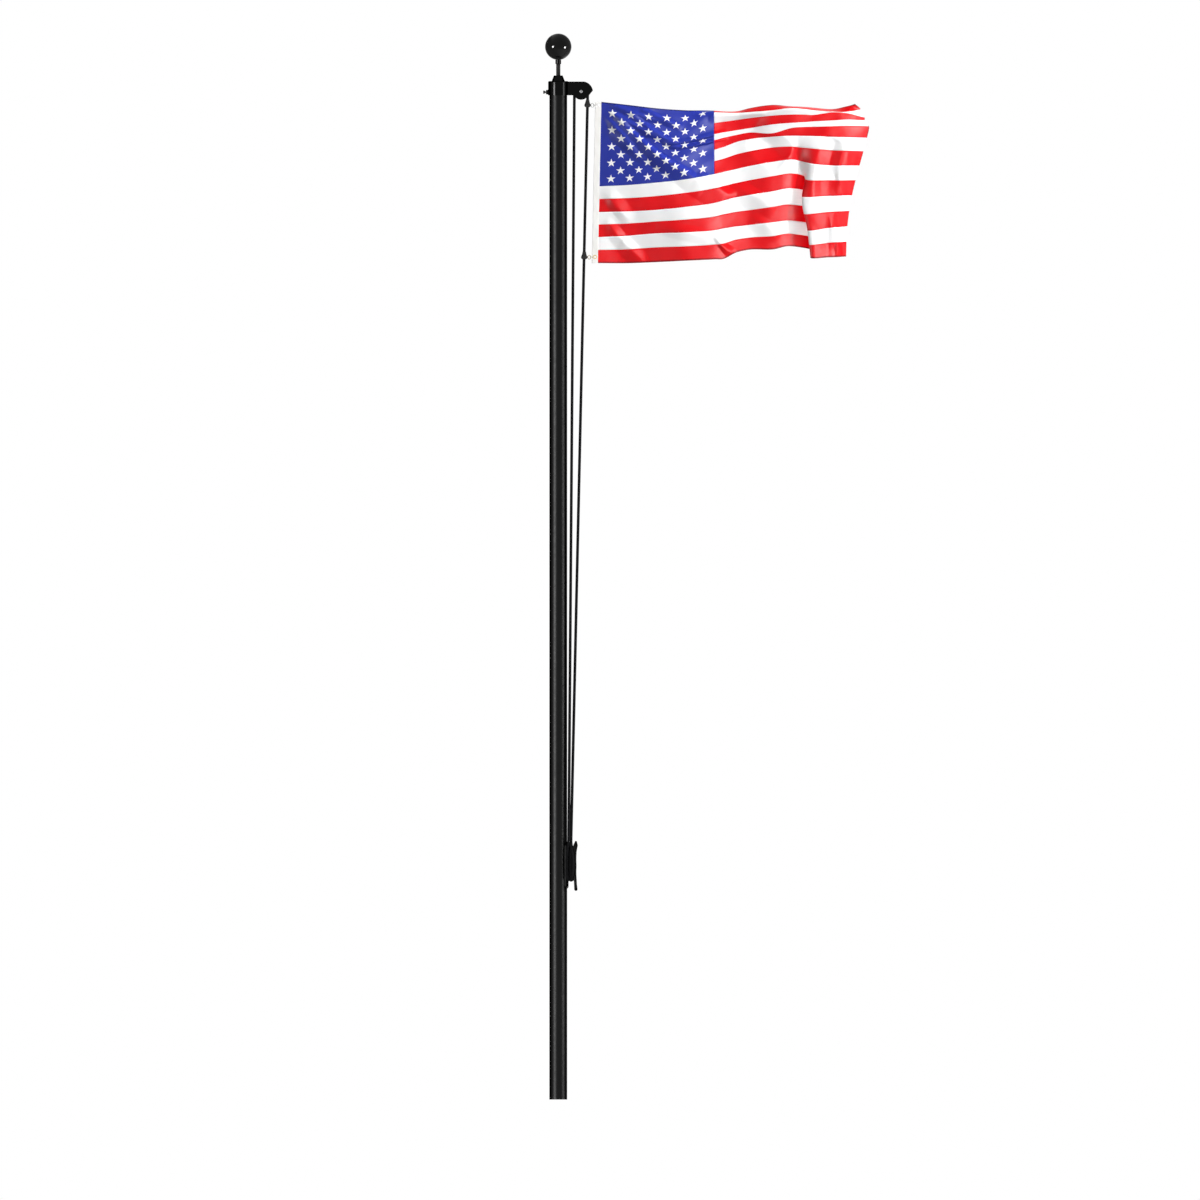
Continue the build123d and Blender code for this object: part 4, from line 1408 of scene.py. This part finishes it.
@dataclass
class Rigging:
    """Stopper, clip and grommet at each end of the hoist."""

    finishes: Finishes
    halyard: Halyard
    sides: int = 64
    belly_steps: int = 46
    stub_reach: tuple[float, float] = (0.012, 0.031)
    stub_radius: tuple[float, float] = (0.0085, 0.0052)
    stub_steps: int = 8
    stub_sides: int = 24
    wire: float = 0.0034
    wire_steps: int = 48
    eye_wide: float = 0.0130
    eye_tall: float = 0.0165
    eye_drop: float = 0.002
    link_half: float = 0.0085
    link_inset: float = 0.0045
    link_round: float = 0.6
    link_wire: float = 0.85
    eyelet: tuple[tuple[float, float], ...] = (
        (0.0180, -0.0022),
        (0.0176, -0.0034),
        (0.0150, -0.0046),
        (0.0120, -0.0046),
        (0.0101, -0.0030),
    )
    belly: tuple[tuple[float, float], ...] = (
        (0.0119, 0.0460),
        (0.0143, 0.0456),
        (0.0152, 0.0410),
        (0.0180, 0.0270),
        (0.0228, 0.0120),
        (0.0270, 0.0000),
        (0.0268, -0.0070),
        (0.0232, -0.0145),
        (0.0178, -0.0195),
        (0.0119, -0.0200),
    )

    def centre(self, node: str) -> np.ndarray:
        """Middle of a node's box."""
        return sum(box_corners(node)) / 2

    def stopper(self, end: str) -> bpy.types.Object:
        """Turn the moulded teardrop about the rope, with a stub towards the clip.

        Args:
            end: Upper or lower.

        Returns:
            The stopper.
        """
        height = self.centre(f"{end}_grommet")[2]
        base = self.halyard.slide_point(height)
        axis = self.halyard.slide_point(height + 1) - base
        knots = np.arange(len(self.belly), dtype=float)
        section = through_points(knots, np.array(self.belly), np.linspace(0, knots[-1], self.belly_steps))
        shell = turned(section, base, axis, self.sides)
        path = base * [1, 0, 1] + np.multiply.outer(np.linspace(*self.stub_reach, self.stub_steps), RIGHT)
        stub = swept(path, np.linspace(*self.stub_radius, self.stub_steps), UP, self.stub_sides)
        return shell.joined(stub).mesh_object(f"{end}_stop", self.finishes[Slot.RUBBER])

    def hook(self, end: str) -> bpy.types.Object:
        """Sweep an upright eye at the stopper, and a flat link from it through the grommet.

        Args:
            end: Upper or lower.

        Returns:
            Eye and link as one piece.
        """
        grommet = self.centre(f"{end}_grommet")
        base = self.halyard.slide_point(grommet[2]) * [1, 0, 1]
        turn = np.arange(self.wire_steps) * 2 * pi / self.wire_steps
        eye_centre = base + [self.stub_reach[1] + self.eye_wide, 0, -self.eye_drop]
        oval = np.stack([self.eye_wide * np.cos(turn), 0 * turn, self.eye_tall * np.sin(turn)], axis=1)
        left = eye_centre[0] + self.eye_wide - self.wire * 2
        right = grommet[0] - self.link_inset
        middle, half = (left + right) / 2, (right - left) / 2
        swing = np.stack([np.cos(turn), np.sin(turn), 0 * turn], axis=1)
        round_end = np.sign(swing) * np.abs(swing) ** self.link_round
        link = np.array([middle, 0, grommet[2]]) + round_end * [half, self.link_half, 0]
        shell = swept(eye_centre + oval, self.wire, BACK, closed=True)
        shell = shell.joined(swept(link, self.wire * self.link_wire, UP, closed=True))
        finish = self.finishes[Slot.CLIP] if end == "upper" else self.finishes.tan_clip
        return shell.mesh_object(f"{end}_hook", finish)

    def grommet(self, end: str) -> bpy.types.Object:
        """Turn the rolled eyelet about its hole.

        Args:
            end: Upper or lower.

        Returns:
            The eyelet, whose section is mirrored about the canvas.
        """
        front = np.array(self.eyelet)
        section = np.concatenate([front, front[::-1] * [1, -1], front[:1]])
        shell = turned(section, self.centre(f"{end}_grommet"), BACK, self.sides)
        finish = self.finishes.nickel if end == "upper" else self.finishes[Slot.BRASS]
        return shell.mesh_object(f"{end}_eyelet", finish, crisp=False)

    def dress(self) -> None:
        """Put all the small hardware in place."""
        for end in ("upper", "lower"):
            settle(self.stopper(end), Body.FLAG, Slot.RUBBER, f"{end}_stopper")
            settle(self.hook(end), Body.FLAG, Slot.CLIP, f"{end}_snap_hook")
            slot = Slot.STEEL if end == "upper" else Slot.BRASS
            settle(self.grommet(end), Body.FLAG, slot, f"{end}_grommet")


@dataclass(frozen=True)
class Panel:
    """Tall soft panel far from the pole, seen only in reflections.

    Attributes:
        name: Name of the lamp.
        bearing: Degrees to the right of the camera's direction.
        width: Metres across.
        level: Brightness of its face, where 1 is white.
        on_tube: True for the tube's own broad bands, false for the small parts' narrow ones.
    """

    name: str
    bearing: float
    width: float
    level: float
    on_tube: bool


def backdrop_rays(tree: bpy.types.NodeTree) -> bpy.types.NodeSocket:
    """1 for rays that see the backdrop from the camera, a mirror or glass, and 0 for rays that light.

    Args:
        tree: Node tree of the world or of a backdrop's material.

    Returns:
        The socket with that number.
    """
    path = tree.nodes.new("ShaderNodeLightPath")
    seen = path.outputs["Is Camera Ray"]
    for kind in ("Is Glossy Ray", "Is Transmission Ray"):
        either = tree.nodes.new("ShaderNodeMath")
        either.operation = "MAXIMUM"
        tree.links.new(seen, either.inputs[0])
        tree.links.new(path.outputs[kind], either.inputs[1])
        seen = either.outputs[0]
    return seen


@dataclass(frozen=True)
class Pin:
    """Small round lamp near the ball, for one of its dots.

    Attributes:
        name: Name of the lamp.
        bearing: Degrees to the right of the camera's direction.
        drop: Metres below the ball's middle.
    """

    name: str
    bearing: float
    drop: float


@dataclass
class Studio:
    """Pale floor, white surroundings, soft panels and the front camera."""

    tube: bpy.types.Object
    ball: bpy.types.Object
    cloth: list[bpy.types.Object]
    key_place: tuple[float, float, float] = (19.6, -10.0, 20.0)
    key_target: tuple[float, float, float] = (1.6, 0.0, 8.0)
    key_size: tuple[float, float] = (2.4, 2.4)
    key_level: float = 310.0
    fill_level: float = 180.0
    back_place: tuple[float, float, float] = (14.0, 16.0, 16.0)
    back_level: float = 75.0
    shine_place: tuple[float, float, float] = (10.0, -20.0, 9.0)
    shine_size: tuple[float, float] = (3.0, 3.0)
    shine_level: float = 230.0
    panels: tuple[Panel, ...] = (
        Panel("left_panel", -47, 17.0, 54.0, False),
        Panel("right_panel", 65, 17.0, 18.0, False),
        Panel("left_band", -47, 27.0, 33.0, True),
        Panel("right_band", 68, 22.0, 18.5, True),
    )
    panel_distance: float = 60.0
    panel_height: float = 4.6
    panel_tall: float = 9.4
    pins: tuple[Pin, ...] = (Pin("left_pin", -46, 0.0), Pin("right_pin", 60, 0.19))
    pin_distance: float = 2.0
    pin_size: float = 0.52
    pin_level: float = 120.0
    ball_height: float = 9.0265
    ambient: float = 0.32
    floor_tone: float = 0.86
    floor_roughness: float = 0.9
    floor_glow: tuple[float, float] = (0.40, 0.80)
    glow_reach: tuple[float, float] = (2.0, 14.0)
    floor_size: float = 160.0
    floor_drop: float = 0.0005
    camera_distance: float = 20.0
    camera_reach: float = 200.0

    def floor(self) -> None:
        """Wide pale floor just under the ground, with a glow that grows away from the foot."""
        half = self.floor_size / 2
        edge = np.linspace(-half, half, 3)
        x, y = np.meshgrid(edge, edge)
        points = np.stack([x, y, 0 * x - self.floor_drop], axis=-1)
        bench = Bench("floor")
        bench.paint(Base_Color=(self.floor_tone,) * 3 + (1,))
        bench.paint(Roughness=self.floor_roughness, Specular_IOR_Level=0.0)
        reach = bench.add("ShaderNodeVectorMath", {0: bench.places.outputs["UV"]}, operation="LENGTH")
        values = dict(zip(("From Min", "From Max"), self.glow_reach))
        values |= dict(zip(("To Min", "To Max"), self.floor_glow))
        glow = bench.add("ShaderNodeMapRange", {"Value": reach.outputs["Value"]} | values)
        shown = bench.reckon("MULTIPLY", backdrop_rays(bench.tree), glow.outputs[0])
        bench.feed("Emission Strength", shown)
        Shell.of_grid(points, points[..., :2]).mesh_object("floor", bench.material)

    def world(self) -> None:
        """White behind the object and in its reflections, softer where it only lights."""
        world = bpy.data.worlds.new("white")
        bpy.context.scene.world = world
        world.use_nodes = True
        tree = world.node_tree
        level = tree.nodes.new("ShaderNodeMapRange")
        level.inputs["To Min"].default_value = self.ambient
        level.inputs["To Max"].default_value = 1.0
        tree.links.new(backdrop_rays(tree), level.inputs["Value"])
        background = tree.nodes["Background"]
        background.inputs["Color"].default_value = (1, 1, 1, 1)
        tree.links.new(level.outputs[0], background.inputs["Strength"])

    def lamp(
        self, name: str, place: np.ndarray, target: np.ndarray, size: tuple[float, float], level: float
    ) -> bpy.types.Object:
        """Rectangular soft panel that faces a target.

        Args:
            name: Name of the lamp.
            place: Its centre.
            target: Point that it faces.
            size: Width and height in metres.
            level: Brightness of its face, where 1 is white.

        Returns:
            The lamp.
        """
        data = bpy.data.lights.new(name, "AREA")
        data.shape = "RECTANGLE"
        data.size, data.size_y = size
        data.energy = level * pi * size[0] * size[1]
        lamp = bpy.data.objects.new(name, data)
        lamp.location = place
        ahead = unit(target - place)
        tilt = atan2(hypot(ahead[0], ahead[1]), -ahead[2])
        lamp.rotation_euler = (tilt, 0, atan2(ahead[1], ahead[0]) - pi / 2)
        bpy.context.scene.collection.objects.link(lamp)
        return lamp

    def lights(self) -> None:
        """Side panels for bright bands, pins for the ball's dots, a high key, and the cloth's own lamps."""
        tube_only = self.receivers("tube_only", "INCLUDE", self.tube)
        ball_only = self.receivers("ball_only", "INCLUDE", self.ball)
        small_parts = self.receivers("small_parts", "EXCLUDE", self.tube, self.ball)
        middle = np.array([0, 0, self.panel_height])
        for panel in self.panels:
            place = self.around(panel.bearing, self.panel_distance, self.panel_height)
            lamp = self.lamp(panel.name, place, middle, (panel.width, self.panel_tall), panel.level)
            lamp.visible_diffuse = False
            lamp.light_linking.receiver_collection = tube_only if panel.on_tube else small_parts
        ball = np.array([0, 0, self.ball_height])
        for pin in self.pins:
            place = self.around(pin.bearing, self.pin_distance, self.ball_height - pin.drop)
            lamp = self.lamp(pin.name, place, ball, (self.pin_size,) * 2, self.pin_level)
            lamp.data.shape = "DISK"
            lamp.visible_diffuse = lamp.visible_camera = False
            lamp.light_linking.receiver_collection = ball_only
        target = np.array(self.key_target)
        for name, level in (("key_panel", self.key_level), ("fill_panel", self.fill_level)):
            lamp = self.lamp(name, np.array(self.key_place), target, self.key_size, level)
            lamp.visible_glossy = False
            lamp.data.use_shadow = name == "key_panel"
        cloth_only = self.receivers("cloth_only", "INCLUDE", *self.cloth)
        back = self.lamp("back_panel", np.array(self.back_place), target, self.key_size, self.back_level)
        back.visible_glossy = False
        back.light_linking.receiver_collection = cloth_only
        shine = self.lamp("shine", np.array(self.shine_place), target, self.shine_size, self.shine_level)
        shine.visible_diffuse = False
        shine.light_linking.receiver_collection = cloth_only

    def receivers(self, name: str, state: str, *pieces: bpy.types.Object) -> bpy.types.Collection:
        """Group of pieces that a lamp lights alone, or leaves unlit.

        Args:
            name: Name of the group.
            state: INCLUDE for pieces lit alone, or EXCLUDE for pieces left unlit.
            pieces: The pieces.

        Returns:
            The group, for a lamp's light linking.
        """
        group = bpy.data.collections.new(name)
        for piece in pieces:
            group.objects.link(piece)
        for member in group.collection_objects:
            member.light_linking.link_state = state
        return group

    def around(self, bearing: float, distance: float, height: float) -> np.ndarray:
        """Place about the pole at a bearing in degrees, right of the camera's direction."""
        angle = radians(bearing)
        return np.array([distance * sin(angle), -distance * cos(angle), height])

    def camera(self) -> None:
        """Camera square to the front, with the photo's frame."""
        data = bpy.data.cameras.new("front")
        data.type = "ORTHO"
        data.ortho_scale = PHOTO_WIDTH * METRES_PER_PIXEL
        data.clip_end = self.camera_reach
        camera = bpy.data.objects.new("front", data)
        camera.location = (photo_x(PHOTO_MIDDLE), -self.camera_distance, photo_z(PHOTO_MIDDLE))
        camera.rotation_euler = (pi / 2, 0, 0)
        bpy.context.scene.collection.objects.link(camera)
        bpy.context.scene.camera = camera
        bpy.context.scene.view_settings.view_transform = "Standard"

    def dress(self) -> None:
        """Set the whole stage."""
        self.floor()
        self.world()
        self.lights()
        self.camera()


def main() -> None:
    """Build every sub-assembly in order, then set the studio."""
    logging.basicConfig(level=logging.INFO, format="%(name)s: %(message)s")
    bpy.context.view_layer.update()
    finishes = Finishes()
    pole = Pole(finishes)
    finial = Finial(finishes)
    halyard = Halyard(finishes)
    flag = Flag(finishes)
    for assembly in (
        pole,
        finial,
        Truck(finishes),
        Cleat(finishes),
        halyard,
        Rigging(finishes, halyard),
        Heading(finishes),
        flag,
    ):
        LOG.info("building %s", type(assembly).__name__)
        assembly.dress()
    Studio(pole.made_tube, finial.made_ball, flag.made_cloth).dress()
    bpy.context.view_layer.update()


if __name__ == "__main__":
    main()
